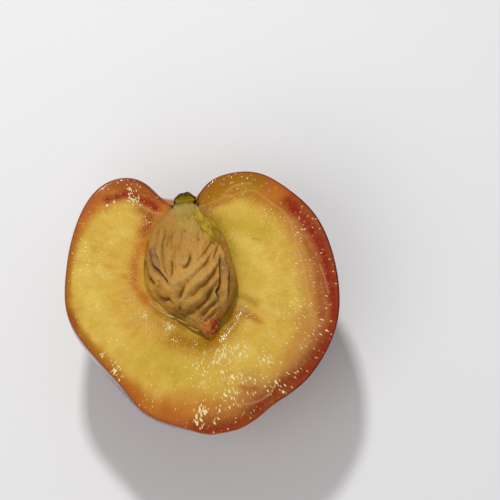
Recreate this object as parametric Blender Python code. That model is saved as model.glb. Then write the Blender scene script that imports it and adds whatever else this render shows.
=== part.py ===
"""Half a nectarine, cut through its stem, with the whole stone and the stub of the stalk still in it.

The fruit lies on its round back with the cut face up. Its stem end points to +Y and its tip to -Y.
Three solids: the fruit half (flesh with the skin grown on it), the stone and the stalk.

Shapes are worked out in a fruit frame in millimetres: the stalk's axis is the line x = z = 0, y = 0 is where
the stalk leaves the fruit, and the cut face is z = 0. settle() then moves all of it to the part's own frame:
origin under the middle of the object, on the surface that it lies on.
"""

import math

import bpy
import numpy as np

MM = 0.001

# The skin's outline from the stalk's seat to the tip, as (distance from the axis, height), in millimetres:
# down the right and the left edge of the cut face, and down the middle of the round back. Points with the
# same number play the same part in all three, so that the skin can turn smoothly from one to the next.
SEAT_RADIUS = 3.6
RIGHT_OUTLINE = [
    (SEAT_RADIUS, 1.5), (6.0, 4.0), (9.8, 6.0), (14.8, 6.6), (20.5, 5.4), (27.2, 0.1), (33.4, -8.4),
    (36.4, -21.5), (35.7, -34.0), (30.6, -45.2), (22.2, -53.6), (15.8, -57.1), (12.2, -59.6), (6.7, -62.3),
    (0.0, -62.9),
]
BACK_OUTLINE = [
    (SEAT_RADIUS, 0.5), (6.0, 2.5), (9.6, 4.6), (14.2, 5.9), (19.8, 5.1), (25.6, 1.1), (30.8, -7.4),
    (33.5, -18.4), (33.7, -28.2), (29.4, -40.2), (22.3, -50.3), (16.4, -54.9), (11.4, -57.7), (5.9, -60.6),
    (0.0, -62.9),
]
LEFT_OUTLINE = [
    (SEAT_RADIUS, -0.5), (6.0, 2.0), (9.2, 6.0), (13.5, 8.4), (19.0, 8.0), (24.8, 3.6), (29.9, -6.0),
    (32.8, -17.0), (33.2, -27.4), (27.4, -39.2), (20.9, -49.0), (16.9, -54.9), (12.2, -58.2), (6.2, -60.9),
    (0.0, -62.9),
]
SUTURE_ANGLE = math.radians(16)     # the seam of the skin runs just behind the right edge
SUTURE_WIDTH = math.radians(7)
SUTURE_DEPTH = 0.7
REST_SPOT_DEPTH = 0.45              # how much of the back's lowest point is flat

# The stone, seen from above the cut face, in millimetres: (distance from its stem end, edge to the left, edge
# to the right). Its stem end lies under the stalk, and it is turned a little in the face.
STONE_END = (0.1, -1.2)
STONE_TURN = math.radians(3.3)
STONE_LENGTH = 35.2
STONE_WIDTH = 23.3
STONE_EDGES = [
    (0.0, 0.0, 0.0), (0.35, 3.5, 2.3), (1.1, 5.4, 3.2), (2.4, 7.4, 4.1), (4.4, 9.6, 5.4), (7.0, 11.4, 6.8),
    (10.0, 12.6, 8.0), (13.5, 13.6, 8.7), (17.0, 14.2, 9.1), (20.0, 14.1, 9.3), (22.5, 13.1, 9.2),
    (25.2, 11.1, 8.7), (27.7, 8.7, 7.5), (29.8, 6.6, 5.7), (31.9, 4.6, 3.6), (33.8, 2.5, 1.6),
    (STONE_LENGTH, 0.0, 0.0),
]
STONE_CENTRE = (-2.6, 18.5)
STONE_HALF_THICKNESS = 8.6
STONE_FULLNESS = 0.85               # the thickness follows the width to this power
STONE_ROLL = 0.15                   # its right edge lies higher than its left one
STONE_END_LIFT = 0.4
STONE_TIP_LIFT = 0.5

# Furrows on the stone's upper face: (depth, half width, points), with points as (across, distance from its
# stem end).
STONE_FURROWS = [
    (1.5, 0.75, [(-11.9, 11.5), (-12.4, 14.5), (-11.9, 16.1), (-10.1, 19.6), (-8.5, 22.5)]),
    (1.1, 0.70, [(-13.6, 15.6), (-13.3, 18.0), (-12.0, 21.2)]),
    (0.9, 0.70, [(-8.4, 6.4), (-9.8, 8.5), (-10.8, 11.4), (-10.5, 14.6), (-10.0, 17.7)]),
    (1.1, 0.70, [(-6.8, 8.2), (-8.3, 10.9), (-9.2, 14.4), (-9.3, 16.0)]),
    (0.7, 0.70, [(-4.3, 8.9), (-6.4, 10.5), (-8.1, 12.8)]),
    (1.2, 0.70, [(-6.6, 16.0), (-7.0, 18.6), (-8.3, 21.3)]),
    (1.3, 0.80, [(-1.5, 15.7), (-1.5, 16.9), (-2.9, 19.0), (-4.4, 18.4)]),
    (1.4, 0.80, [(-4.0, 23.6), (-5.8, 24.8), (-7.1, 26.3), (-7.0, 27.0)]),
    (1.1, 0.85, [(-4.4, 27.0), (-2.1, 26.0), (0.9, 24.7), (4.2, 22.0), (5.0, 20.5)]),
    (1.3, 0.85, [(-3.4, 30.1), (0.0, 28.5), (2.7, 26.4), (3.9, 25.3)]),
    (1.1, 0.75, [(-1.5, 32.0), (1.3, 29.8), (4.1, 28.3)]),
    (0.9, 0.70, [(-1.1, 32.9), (1.1, 32.0), (3.2, 30.4)]),
    (1.0, 0.80, [(-7.7, 28.8), (-6.3, 29.7), (-2.3, 29.6)]),
    (1.5, 0.70, [(6.3, 17.7), (5.8, 20.5), (5.8, 23.1), (4.8, 25.8), (3.9, 26.9)]),
    (1.0, 0.70, [(7.0, 13.8), (8.0, 18.2), (7.9, 22.8), (7.0, 26.6), (6.3, 28.1)]),
    (1.3, 0.75, [(-11.7, 23.6), (-10.0, 24.9), (-8.5, 26.6)]),
]
BACK_FURROWS = 9                    # furrows that run from end to end on the side that lies in the flesh
BACK_FURROW_DEPTH = 0.8
DEEPEST_SHARE = 0.22                # no furrow is deeper than this share of the way to the stone's long axis

CAVITY_GAP = 0.5                    # room between the stone and the flesh
LIP_ROUNDING = 0.5
BOWL_EDGE_SLOPE = 8.0
FACE_DISH = 0.4                     # the cut face sinks this much towards the stone
FACE_DISH_LENGTH = 4.0
HOLLOW_DEPTH = 1.8                  # and this much more beside the stone's tip
HOLLOW_ANGLE = math.radians(-80)    # the way from the stone's centre to the middle of that hollow
HOLLOW_WIDTH = math.radians(48)
HOLLOW_LENGTH = 3.6

STALK_RINGS = [                     # (height on the axis, radius) of the stalk's stub, foot to broken top
    (-0.75, 1.9), (-0.70, 2.7), (-0.2, 3.0), (0.35, 2.7), (0.9, 2.6), (1.3, 2.75), (1.6, 2.7), (1.8, 2.2),
    (1.5, 1.1),
]
STALK_LIFT = 0.3                    # the stub's axis lies a little above the cut face
STALK_SIDES = 22
STALK_RIBS = 5
STALK_CUT = 1.9                     # the knife shaved the side of the stub that faces up, more at its foot

ROWS_DOWN_SKIN = 36                 # mesh rows from the stalk's seat to the tip
ROWS_ROUND_BACK = 28                # mesh rows from the right edge, round the back, to the left edge
ROWS_IN_BOWL = 9
ROWS_ON_FACE = 9
STONE_ROWS = 62                     # mesh rows along the stone
STONE_COLUMNS_ABOVE = 44            # mesh columns over its upper face
STONE_COLUMNS_BELOW = 12

SKIN_RED = (0.33, 0.020, 0.018)
STONE_BROWN = (0.42, 0.24, 0.10)
STALK_BROWN = (0.12, 0.085, 0.020)


def spline(knots, values, at):
    """Natural cubic spline through values at knots, read at the numbers in at."""
    knots, values = np.asarray(knots, float), np.asarray(values, float)
    count, step = len(knots), np.diff(knots)
    matrix, right = np.eye(count), np.zeros_like(values)
    for i in range(1, count - 1):
        matrix[i, i - 1:i + 2] = step[i - 1], 2 * (step[i - 1] + step[i]), step[i]
        right[i] = 6 * ((values[i + 1] - values[i]) / step[i] - (values[i] - values[i - 1]) / step[i - 1])
    bend = np.linalg.solve(matrix, right)
    i = np.clip(np.searchsorted(knots, at) - 1, 0, count - 2)
    h = step[i][:, None]
    a, b = (knots[i + 1] - at)[:, None] / h, (at - knots[i])[:, None] / h
    return a * values[i] + b * values[i + 1] + ((a**3 - a) * bend[i] + (b**3 - b) * bend[i + 1]) * h**2 / 6


def skin_outlines(rows):
    """The right, back and left outline, each as rows + 1 points from the stalk's seat to the tip."""
    outlines = [np.array(o) for o in (RIGHT_OUTLINE, BACK_OUTLINE, LEFT_OUTLINE)]
    strides = np.mean([np.linalg.norm(np.diff(o, axis=0), axis=1) for o in outlines], axis=0)
    knots = np.concatenate([[0], np.cumsum(strides)])
    # Mirrored points past the tip make each outline cross the axis level.
    knots = np.concatenate([knots, knots[-1] + np.cumsum(strides[:-3:-1])])
    at = np.linspace(0, knots[len(strides)], rows + 1)
    return [spline(knots, np.vstack([o, o[-2:-4:-1] * (-1, 1)]), at) for o in outlines]


def skin_points():
    """The skin as rows of points from the seat to the tip, columns round the back from right to left."""
    right, back, left = skin_outlines(ROWS_DOWN_SKIN)
    turn = np.linspace(0, math.pi, ROWS_ROUND_BACK + 1)[None, :, None]
    side = np.where(turn < math.pi / 2, right[:, None, :], left[:, None, :])
    mixed = side * (1 - np.sin(turn)) + back[:, None, :] * np.sin(turn)
    radius, height = mixed[..., 0], mixed[..., 1]
    turn = turn[..., 0]
    along = np.linspace(0, 1, ROWS_DOWN_SKIN + 1)[:, None]
    seam = np.exp(-(((turn - SUTURE_ANGLE) / SUTURE_WIDTH) ** 2)) * np.sin(math.pi * along) ** 0.7
    radius = radius - SUTURE_DEPTH * seam
    x, y, z = radius * np.cos(turn), height, -radius * np.sin(turn)
    z = np.maximum(z, z.min() + REST_SPOT_DEPTH)
    return np.stack([x, y, z], axis=-1)


def stone_to_fruit(across, down):
    """A place on the stone, (across, distance from its stem end), as (x, y) in the fruit frame."""
    c, s = math.cos(STONE_TURN), math.sin(STONE_TURN)
    return STONE_END[0] + across * c + down * s, STONE_END[1] + across * s - down * c


def fruit_to_stone(x, y):
    """The reverse of stone_to_fruit."""
    c, s = math.cos(STONE_TURN), math.sin(STONE_TURN)
    x, y = x - STONE_END[0], y - STONE_END[1]
    return x * c + y * s, x * s - y * c


def stone_outline(count):
    """The stone's edge from above, as count points in the stone's own places, clockwise from its stem end."""
    edges = np.array(STONE_EDGES)
    turn = np.arccos(1 - 2 * edges[:, 0] / STONE_LENGTH)
    at = np.linspace(0, 2 * math.pi, count, endpoint=False)
    half = np.minimum(at, 2 * math.pi - at)
    edge = spline(turn, edges[:, 1:], half)
    across = np.where(at <= math.pi, edge[:, 1], -edge[:, 0])
    return np.stack([across, STONE_LENGTH / 2 * (1 - np.cos(half))], axis=-1)


def distance_to_line(across, down, points):
    """The distance from each place to a line drawn through points."""
    nearest = np.full(np.shape(across), np.inf)
    for (x0, y0), (x1, y1) in zip(points, points[1:]):
        length = (x1 - x0) ** 2 + (y1 - y0) ** 2
        t = np.clip(((across - x0) * (x1 - x0) + (down - y0) * (y1 - y0)) / length, 0, 1)
        nearest = np.minimum(nearest, np.hypot(across - x0 - t * (x1 - x0), down - y0 - t * (y1 - y0)))
    return nearest


def furrow_depth(across, down):
    """How deep the upper face's furrows are at each place."""
    depth = np.zeros(np.shape(across))
    for deep, half_width, points in STONE_FURROWS:
        away = distance_to_line(across, down, points) / half_width
        depth = np.maximum(depth, deep * np.exp(-(away**2)))
    return depth


def spaced(count, evenness):
    """count + 1 numbers from 0 to 1: even steps mixed with steps that shorten towards both ends."""
    s = np.linspace(0, 1, count + 1)
    return evenness * s + (1 - evenness) * (1 - np.cos(math.pi * s)) / 2


def stone_section(down):
    """Across the stone at each distance from its stem end: its middle, half its width, half its thickness."""
    edges = np.array(STONE_EDGES)
    down = np.clip(down, 0, STONE_LENGTH)
    turn = np.arccos(1 - 2 * down.ravel() / STONE_LENGTH)
    left, right = spline(np.arccos(1 - 2 * edges[:, 0] / STONE_LENGTH), edges[:, 1:], turn).T
    left, right = left.reshape(down.shape), right.reshape(down.shape)
    half = np.maximum((left + right) / 2, 1e-6)
    return (right - left) / 2, half, STONE_HALF_THICKNESS * (2 * half / STONE_WIDTH) ** STONE_FULLNESS


def stone_rings():
    """The stone as rings from its stem end to its tip, each from its right edge over the top, then below."""
    over = 1 - 2 * spaced(STONE_COLUMNS_ABOVE, 0.5)
    under = -np.cos(math.pi * np.linspace(0, 1, STONE_COLUMNS_BELOW + 1))[1:-1]
    side = np.concatenate([over, under])[None, :]
    above = np.arange(side.size) < over.size
    down = STONE_LENGTH * spaced(STONE_ROWS, 0.65)[1:-1, None]
    middle, half, thick = stone_section(down)
    across, height = half * side, thick * np.sqrt(np.clip(1 - side**2, 0, 1)) * np.where(above, 1, -1)
    down = np.broadcast_to(down, across.shape)
    ribs = BACK_FURROW_DEPTH * np.clip(np.cos(BACK_FURROWS * np.arcsin(side)), 0, 1)
    depth = np.where(above, furrow_depth(middle + across, down), ribs)
    # The furrows go in towards the stone's long axis, and fade out at its edge and its ends.
    axis = np.hypot(across, height)
    depth = np.minimum(depth * np.clip(5 * np.sqrt(1 - side**2), 0, 1), DEEPEST_SHARE * axis)
    across, height = across * (1 - depth / axis), height * (1 - depth / axis)
    x, y = stone_to_fruit(middle + across, down)
    return np.stack([x, y, height + STONE_ROLL * (middle + across - STONE_CENTRE[0])], axis=-1)


def stone_reach(angle):
    """How far the stone's edge lies from its centre, in the fruit frame, at each angle."""
    x, y = stone_to_fruit(*stone_outline(360).T)
    centre = stone_to_fruit(*STONE_CENTRE)
    bearing, reach = np.arctan2(y - centre[1], x - centre[0]), np.hypot(x - centre[0], y - centre[1])
    order = np.argsort(bearing)
    return np.interp(angle, bearing[order], reach[order], period=2 * math.pi)


def smooth_min(a, b, k):
    """The lower of a and b, with the crease between them rounded over k."""
    h = np.clip(0.5 + 0.5 * (b - a) / k, 0, 1)
    return b * (1 - h) + a * h - k * h * (1 - h)


def face_height(x, y):
    """The height of the cut side at each place: the face, the stone's bowl and the stalk's seat."""
    cx, cy = stone_to_fruit(*STONE_CENTRE)
    reach, angle = np.hypot(x - cx, y - cy), np.arctan2(y - cy, x - cx)
    edge = stone_reach(angle) + CAVITY_GAP
    beyond = np.maximum(reach - edge, 0)
    off_hollow = (angle - HOLLOW_ANGLE + math.pi) % (2 * math.pi) - math.pi
    hollow = HOLLOW_DEPTH * np.exp(-((off_hollow / HOLLOW_WIDTH) ** 2) - (beyond / HOLLOW_LENGTH) ** 2)
    face = -FACE_DISH * np.exp(-beyond / FACE_DISH_LENGTH) - hollow
    # The bowl is the stone's own underside, stretched to the bowl's edge.
    on_stone = np.minimum(reach / edge, 1) * stone_reach(angle)
    across, down = fruit_to_stone(cx + on_stone * np.cos(angle), cy + on_stone * np.sin(angle))
    middle, half, thick = stone_section(down)
    bowl = -thick * np.sqrt(np.clip(1 - ((across - middle) / half) ** 2, 0, 1)) - CAVITY_GAP
    bowl = bowl + STONE_ROLL * (across - STONE_CENTRE[0]) + BOWL_EDGE_SLOPE * beyond
    seat = -np.sqrt(np.clip(SEAT_RADIUS**2 - x**2, 0, None))
    seat = np.where((y > STONE_END[1] - 3) & (np.abs(x) < SEAT_RADIUS), seat, 0)
    return np.minimum(smooth_min(face, bowl, LIP_ROUNDING), seat)


def fruit_half():
    """One closed mesh: the skin round the back, and the cut side with the bowl for the stone."""
    skin = skin_points()
    rows, columns = skin.shape[:2]
    points = list(skin[:-1].reshape(-1, 3)) + [skin[-1, 0]]
    tip = len(points) - 1

    def on_skin(row, column):
        return tip if row == rows - 1 else row * columns + column

    faces = []
    for row in range(rows - 1):
        for column in range(columns - 1):
            a, b = on_skin(row, column), on_skin(row, column + 1)
            c, d = on_skin(row + 1, column + 1), on_skin(row + 1, column)
            faces.append([a, d, c, b] if row < rows - 2 else [a, tip, b])

    # The cut side's rim: down the right edge, up the left edge, and round the stalk's seat.
    rim = [on_skin(row, 0) for row in range(rows)]
    rim += [on_skin(row, columns - 1) for row in range(rows - 2, -1, -1)]
    rim += [on_skin(0, column) for column in range(columns - 2, 0, -1)]
    edge = np.array([points[i] for i in rim])
    centre = np.array(stone_to_fruit(*STONE_CENTRE))
    ray = edge[:, :2] - centre
    bowl = (stone_reach(np.arctan2(ray[:, 1], ray[:, 0])) + CAVITY_GAP) / np.hypot(*ray.T)
    bowl = np.minimum(bowl, 0.97)
    on_face = np.linspace(1, 0, ROWS_ON_FACE + 1)[1:] ** 1.7
    in_bowl = np.sin(np.linspace(math.pi / 2, 0, ROWS_IN_BOWL + 1))[1:-1]
    shares = [bowl + (1 - bowl) * f for f in on_face] + [bowl * f for f in in_bowl]
    outer = rim
    for share in shares:
        x, y = (centre + ray * share[:, None]).T
        inner = list(range(len(points), len(points) + len(rim)))
        points += list(np.stack([x, y, face_height(x, y)], axis=-1))
        for i in range(len(rim)):
            j = (i + 1) % len(rim)
            faces.append([outer[j], outer[i], inner[i], inner[j]])
        outer = inner
    points.append(np.array([*centre, face_height(*centre[:, None])[0]]))
    faces += [[outer[(i + 1) % len(rim)], outer[i], len(points) - 1] for i in range(len(rim))]
    return np.array(points), faces


def stone():
    """The whole stone as one closed mesh."""
    rings = stone_rings()
    count, columns = rings.shape[:2]
    points = [(*stone_to_fruit(0, 0), STONE_END_LIFT), *rings.reshape(-1, 3)]
    points.append((*stone_to_fruit(0, STONE_LENGTH), STONE_TIP_LIFT))
    faces = []
    for column in range(columns):
        after = (column + 1) % columns
        faces.append([0, 1 + after, 1 + column])
        for row in range(count - 1):
            a, b = 1 + row * columns + column, 1 + row * columns + after
            # Each square is split along the furrows: they run down and to the left, but to the right near the
            # stone's left edge.
            if column < STONE_COLUMNS_ABOVE * 2 // 3:
                faces += [[a, b, b + columns], [a, b + columns, a + columns]]
            else:
                faces += [[a, b, a + columns], [b, b + columns, a + columns]]
        last = 1 + (count - 1) * columns
        faces.append([last + after, len(points) - 1, last + column])
    return np.array(points), faces


def stalk():
    """The stub of the stalk, ribbed, with a broken, cupped top."""
    points, faces = [], []
    for height, radius in STALK_RINGS:
        for side in range(STALK_SIDES):
            turn = 2 * math.pi * side / STALK_SIDES
            ribbed = radius * (1 + 0.04 * math.cos(STALK_RIBS * turn))
            torn = 0.15 * math.sin(2 * turn + 0.7) if height > 1.2 else 0
            lift = min(STALK_LIFT + ribbed * math.sin(turn), STALK_CUT + 0.45 * max(height, 0))
            points.append((ribbed * math.cos(turn), height + torn, lift))
    for ring in range(len(STALK_RINGS) - 1):
        for side in range(STALK_SIDES):
            a, b = ring * STALK_SIDES + side, ring * STALK_SIDES + (side + 1) % STALK_SIDES
            faces.append([a, a + STALK_SIDES, b + STALK_SIDES, b])
    last = (len(STALK_RINGS) - 1) * STALK_SIDES
    faces.append(list(range(STALK_SIDES)))
    faces.append(list(range(last + STALK_SIDES - 1, last - 1, -1)))
    return np.array(points), faces


def material(name, colour, roughness):
    made = bpy.data.materials.new(name)
    made.use_nodes = True
    shader = made.node_tree.nodes["Principled BSDF"]
    shader.inputs["Base Color"].default_value = (*colour, 1)
    shader.inputs["Roughness"].default_value = roughness
    shader.inputs["Metallic"].default_value = 0
    return made


def add_object(name, points, faces, finish):
    """A mesh object in metres, shaded smooth but for its sharp edges."""
    mesh = bpy.data.meshes.new(name)
    mesh.from_pydata([tuple(p) for p in points * MM], [], faces)
    mesh.validate()
    mesh.materials.append(finish)
    mesh.shade_smooth()
    mesh.set_sharp_from_angle(angle=math.radians(50))
    made = bpy.data.objects.new(name, mesh)
    bpy.context.scene.collection.objects.link(made)
    return made


def settle(points, box):
    """Moves points from the fruit frame to the part's: origin under the middle of box, on the surface."""
    low, high = box
    return points - np.array([(low[0] + high[0]) / 2, (low[1] + high[1]) / 2, low[2]])


def main():
    for old in list(bpy.data.objects):
        bpy.data.objects.remove(old)
    pieces = {
        "fruit_half": (fruit_half(), material("nectarine_skin", SKIN_RED, 0.35)),
        "stone": (stone(), material("stone_shell", STONE_BROWN, 0.75)),
        "stalk": (stalk(), material("stalk_bark", STALK_BROWN, 0.8)),
    }
    every = np.vstack([points for (points, _), _ in pieces.values()])
    box = every.min(axis=0), every.max(axis=0)
    for name, ((points, faces), finish) in pieces.items():
        add_object(name, settle(points, box), faces, finish)


main()
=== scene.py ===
"""Half a nectarine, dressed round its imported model: skin, cut flesh, stone, stalk and scraps of flesh.

Shapes are worked out in a fruit frame in millimetres: the stalk's axis is the line x = z = 0, the stalk
leaves the fruit at y = 0, and the cut face is z = 0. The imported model's boxes then say where that frame
lies. Every piece keeps the form of the solid that it stands for, with finer relief.
"""

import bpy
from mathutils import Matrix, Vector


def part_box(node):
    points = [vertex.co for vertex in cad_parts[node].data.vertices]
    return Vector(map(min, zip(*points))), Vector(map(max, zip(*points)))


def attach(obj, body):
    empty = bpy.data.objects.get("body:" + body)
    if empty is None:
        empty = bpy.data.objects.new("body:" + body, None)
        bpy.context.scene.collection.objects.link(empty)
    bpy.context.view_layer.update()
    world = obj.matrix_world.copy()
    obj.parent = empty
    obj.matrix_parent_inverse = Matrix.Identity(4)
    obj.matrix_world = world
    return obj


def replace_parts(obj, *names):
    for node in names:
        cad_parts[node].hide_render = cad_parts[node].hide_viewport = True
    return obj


bl_info = {
    "name": "Nectarine half",
    "version": (1, 0, 0),
    "blender": (4, 5, 0),
    "location": "View3D > Sidebar > Nectarine",
    "description": "Builds a nectarine cut in half through its stalk, and the stage that it lies on",
    "category": "Add Mesh",
}

import itertools
import math

import bpy
import numpy as np
from mathutils import Vector

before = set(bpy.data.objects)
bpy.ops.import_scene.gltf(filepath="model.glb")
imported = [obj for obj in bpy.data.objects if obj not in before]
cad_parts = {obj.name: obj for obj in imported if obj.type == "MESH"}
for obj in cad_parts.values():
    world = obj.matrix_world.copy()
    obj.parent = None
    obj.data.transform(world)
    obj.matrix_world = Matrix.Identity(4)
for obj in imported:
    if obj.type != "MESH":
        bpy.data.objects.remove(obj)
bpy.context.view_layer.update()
MM = 0.001

# The skin's outline from the stalk's seat to the tip, as (distance from the axis, height): down the right
# and the left edge of the cut face, and down the middle of the round back.
SEAT_RADIUS = 3.6
RIGHT_OUTLINE = [
    (SEAT_RADIUS, 1.5), (6.0, 4.0), (9.8, 6.0), (14.8, 6.6), (20.5, 5.4), (27.2, 0.1), (33.4, -8.4),
    (36.4, -21.5), (35.7, -34.0), (30.6, -45.2), (22.2, -53.6), (15.8, -57.1), (12.2, -59.6), (6.7, -62.3),
    (0.0, -62.9),
]
BACK_OUTLINE = [
    (SEAT_RADIUS, 0.5), (6.0, 2.5), (9.6, 4.6), (14.2, 5.9), (19.8, 5.1), (25.6, 1.1), (30.8, -7.4),
    (33.5, -18.4), (33.7, -28.2), (29.4, -40.2), (22.3, -50.3), (16.4, -54.9), (11.4, -57.7), (5.9, -60.6),
    (0.0, -62.9),
]
LEFT_OUTLINE = [
    (SEAT_RADIUS, -0.5), (6.0, 2.0), (9.2, 6.0), (13.5, 8.4), (19.0, 8.0), (24.8, 3.6), (29.9, -6.0),
    (32.8, -17.0), (33.2, -27.4), (27.4, -39.2), (20.9, -49.0), (16.9, -54.9), (12.2, -58.2), (6.2, -60.9),
    (0.0, -62.9),
]
SEAM_ANGLE = math.radians(16)       # the skin's seam runs down the back, this far round from the right edge
SEAM_WIDTH = math.radians(7)
SEAM_DEPTH = 0.7
REST_SPOT_DEPTH = 0.45              # how much of the round back is flat, where the half lies
MIDDLE_OF_FRUIT = (0, -28, 0)

# The stone seen from above the cut face: (distance from its stem end, edge to the left, edge to the right).
STONE_END = (0.1, -1.2)             # its stem end in the fruit frame
STONE_TURN = math.radians(3.3)      # and how far its length is turned from the stalk's axis
STONE_LENGTH = 35.2
STONE_WIDTH = 23.3
STONE_EDGES = [
    (0.0, 0.0, 0.0), (0.35, 3.5, 2.3), (1.1, 5.4, 3.2), (2.4, 7.4, 4.1), (4.4, 9.6, 5.4), (7.0, 11.4, 6.8),
    (10.0, 12.6, 8.0), (13.5, 13.6, 8.7), (17.0, 14.2, 9.1), (20.0, 14.1, 9.3), (22.5, 13.1, 9.2),
    (25.2, 11.1, 8.7), (27.7, 8.7, 7.5), (29.8, 6.6, 5.7), (31.9, 4.6, 3.6), (33.8, 2.5, 1.6),
    (STONE_LENGTH, 0.0, 0.0),
]
STONE_CENTRE = (-2.6, 18.5)
STONE_HALF_THICKNESS = 8.6
STONE_FULLNESS = 0.85               # how closely its thickness follows its width
STONE_ROLL = 0.15                   # how steeply it rises from left to right
STONE_END_LIFT = 0.4                # how high its two ends lie
STONE_TIP_LIFT = 0.5
DEEPEST_SHARE = 0.22                # a furrow's most depth, as a share of the way to the stone's axis

# Furrows on the stone's upper face, with shade painted in them: (depth, half width, painted shade, points),
# points as (across, distance from its stem end).
FURROWS = [
    (1.6, 0.50, 0.95, [(-11.9, 11.5), (-12.3, 13.1), (-12.4, 14.5), (-11.9, 16.1), (-10.8, 17.9),
                       (-10.1, 19.6),
                       (-9.3, 21.2), (-8.5, 22.5)]),
    # and the trough has this share of the shade painted in the furrow
    (1.3, 0.42, 0.80, [(-13.5, 12.5), (-13.6, 15.6), (-13.3, 18.0), (-12.8, 19.7), (-12.0, 21.2)]),
    # painted shade in the plain furrows on the back
    (1.2, 0.50, 0.45, [(-8.4, 6.4), (-9.3, 7.2), (-9.8, 8.5), (-10.3, 10.1), (-10.8, 11.4), (-10.8, 12.9),
                       # fine ropes of shell run along the furrows, with shade painted in the dips between
                       # them
                       (-10.5, 14.6), (-10.3, 16.4), (-10.0, 17.7)]),
    (1.0, 0.46, 0.40, [(-7.2, 7.0), (-7.7, 8.7), (-8.4, 11.5), (-9.2, 14.4), (-9.4, 17.4), (-8.8, 20.1),
                       (-8.4, 21.8)]),
    (0.9, 0.46, 0.30, [(-5.2, 7.9), (-6.0, 11.0), (-6.3, 14.4)]),
    (0.8, 0.42, 0.30, [(-4.6, 12.3), (-5.5, 14.6), (-6.2, 17.2)]),
    (0.9, 0.50, 0.30, [(-0.6, 18.7), (1.5, 17.4), (3.6, 15.4), (5.1, 13.1)]),
    (0.8, 0.45, 0.30, [(3.7, 19.3), (5.1, 17.4), (6.3, 14.8)]),
    (1.4, 0.46, 0.70, [(-6.8, 8.2), (-7.5, 9.4), (-8.3, 10.9), (-8.8, 12.5), (-9.2, 14.4), (-9.3, 16.0)]),
    (1.0, 0.45, 0.45, [(-4.3, 8.9), (-4.9, 9.3), (-6.4, 10.5), (-7.5, 12.2), (-8.1, 12.8)]),
    (0.6, 0.30, 0.35, [(-5.1, 12.2), (-5.1, 13.9)]),
    (1.3, 0.36, 0.85, [(-6.6, 16.0), (-6.7, 17.1), (-7.0, 18.6), (-7.5, 20.1), (-8.3, 21.3)]),
    (0.6, 0.30, 0.40, [(-5.8, 17.7), (-6.1, 19.5)]),
    (0.8, 0.40, 0.35, [(-11.6, 7.0), (-12.4, 9.4), (-12.9, 11.8)]),
    (0.7, 0.36, 0.30, [(-7.4, 17.6), (-8.2, 19.8), (-9.0, 21.4)]),
    (0.7, 0.40, 0.30, [(-3.2, 11.8), (-4.0, 13.4), (-4.2, 15.6)]),
    (0.7, 0.40, 0.30, [(1.0, 20.8), (3.0, 18.8), (4.4, 16.4)]),
    (0.6, 0.36, 0.30, [(-10.6, 26.0), (-8.6, 28.0), (-7.6, 30.0)]),
    (1.3, 0.42, 0.80, [(-1.5, 15.7), (-1.5, 16.9), (-2.2, 18.1), (-2.9, 19.0), (-3.7, 19.2), (-4.4, 18.4)]),
    (1.5, 0.50, 0.85, [(-4.0, 23.6), (-5.2, 24.2), (-5.8, 24.8), (-6.7, 25.6), (-7.1, 26.3), (-7.0, 27.0)]),
    (1.2, 0.46, 0.60, [(-4.4, 27.0), (-3.5, 26.6), (-2.1, 26.0), (-0.7, 25.1), (0.9, 24.7), (2.7, 23.4),
                       (4.2, 22.0), (5.0, 20.5)]),
    (1.4, 0.48, 0.75, [(-3.4, 30.1), (-1.4, 29.1), (0.0, 28.5), (1.3, 27.6), (2.7, 26.4), (3.9, 25.3)]),
    (1.2, 0.44, 0.65, [(-1.5, 32.0), (-0.8, 31.2), (0.1, 30.7), (1.3, 29.8), (2.7, 29.1), (4.1, 28.3)]),
    (1.0, 0.40, 0.55, [(-1.1, 32.9), (0.0, 32.5), (1.1, 32.0), (2.3, 31.2), (3.2, 30.4)]),
    (1.1, 0.50, 0.55, [(-7.7, 28.8), (-6.3, 29.7), (-4.7, 29.9), (-3.4, 29.9), (-2.3, 29.6)]),
    (1.7, 0.38, 1.00, [(6.3, 17.7), (6.2, 18.8), (5.8, 20.5), (5.9, 21.5), (5.8, 23.1), (5.4, 24.6),
                       (4.8, 25.8), (3.9, 26.9), (4.2, 27.9), (4.0, 28.9)]),
    (1.1, 0.45, 0.50, [(7.0, 13.8), (7.4, 15.8), (8.0, 18.2), (8.1, 20.7), (7.9, 22.8), (7.6, 24.6),
                       (7.0, 26.6), (6.3, 28.1)]),
    (1.4, 0.45, 0.80, [(-11.9, 22.7), (-11.7, 23.6), (-11.0, 24.5), (-10.0, 24.9), (-9.3, 25.4),
                       (-8.5, 26.6)]),
]
PITS = [                            # (across, distance from its stem end, radius, depth, painted shade)
    (-2.8, 17.4, 1.50, 0.6, 0.05), (-9.9, 25.0, 0.45, 1.3, 1.0), (-6.6, 28.2, 0.45, 1.2, 1.0),
    (-5.2, 24.3, 0.45, 1.0, 0.9), (1.3, 27.7, 0.40, 1.0, 0.9), (-1.2, 29.2, 0.35, 0.6, 0.5),
    (-0.5, 5.5, 0.28, 0.5, 0.5), (-3.1, 5.9, 0.25, 0.4, 0.5), (-4.5, 7.2, 0.25, 0.4, 0.4),
    (-5.8, 5.4, 0.25, 0.4, 0.4), (-1.8, 9.6, 0.35, 0.5, 0.5), (-3.7, 13.8, 0.25, 0.4, 0.4),
    (-3.5, 23.1, 0.30, 0.5, 0.5), (-11.1, 20.7, 0.28, 0.5, 0.6), (-11.4, 21.9, 0.28, 0.5, 0.6),
    (1.5, 12.8, 0.28, 0.5, 0.6), (6.7, 14.1, 0.30, 0.5, 0.5),
]
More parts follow.
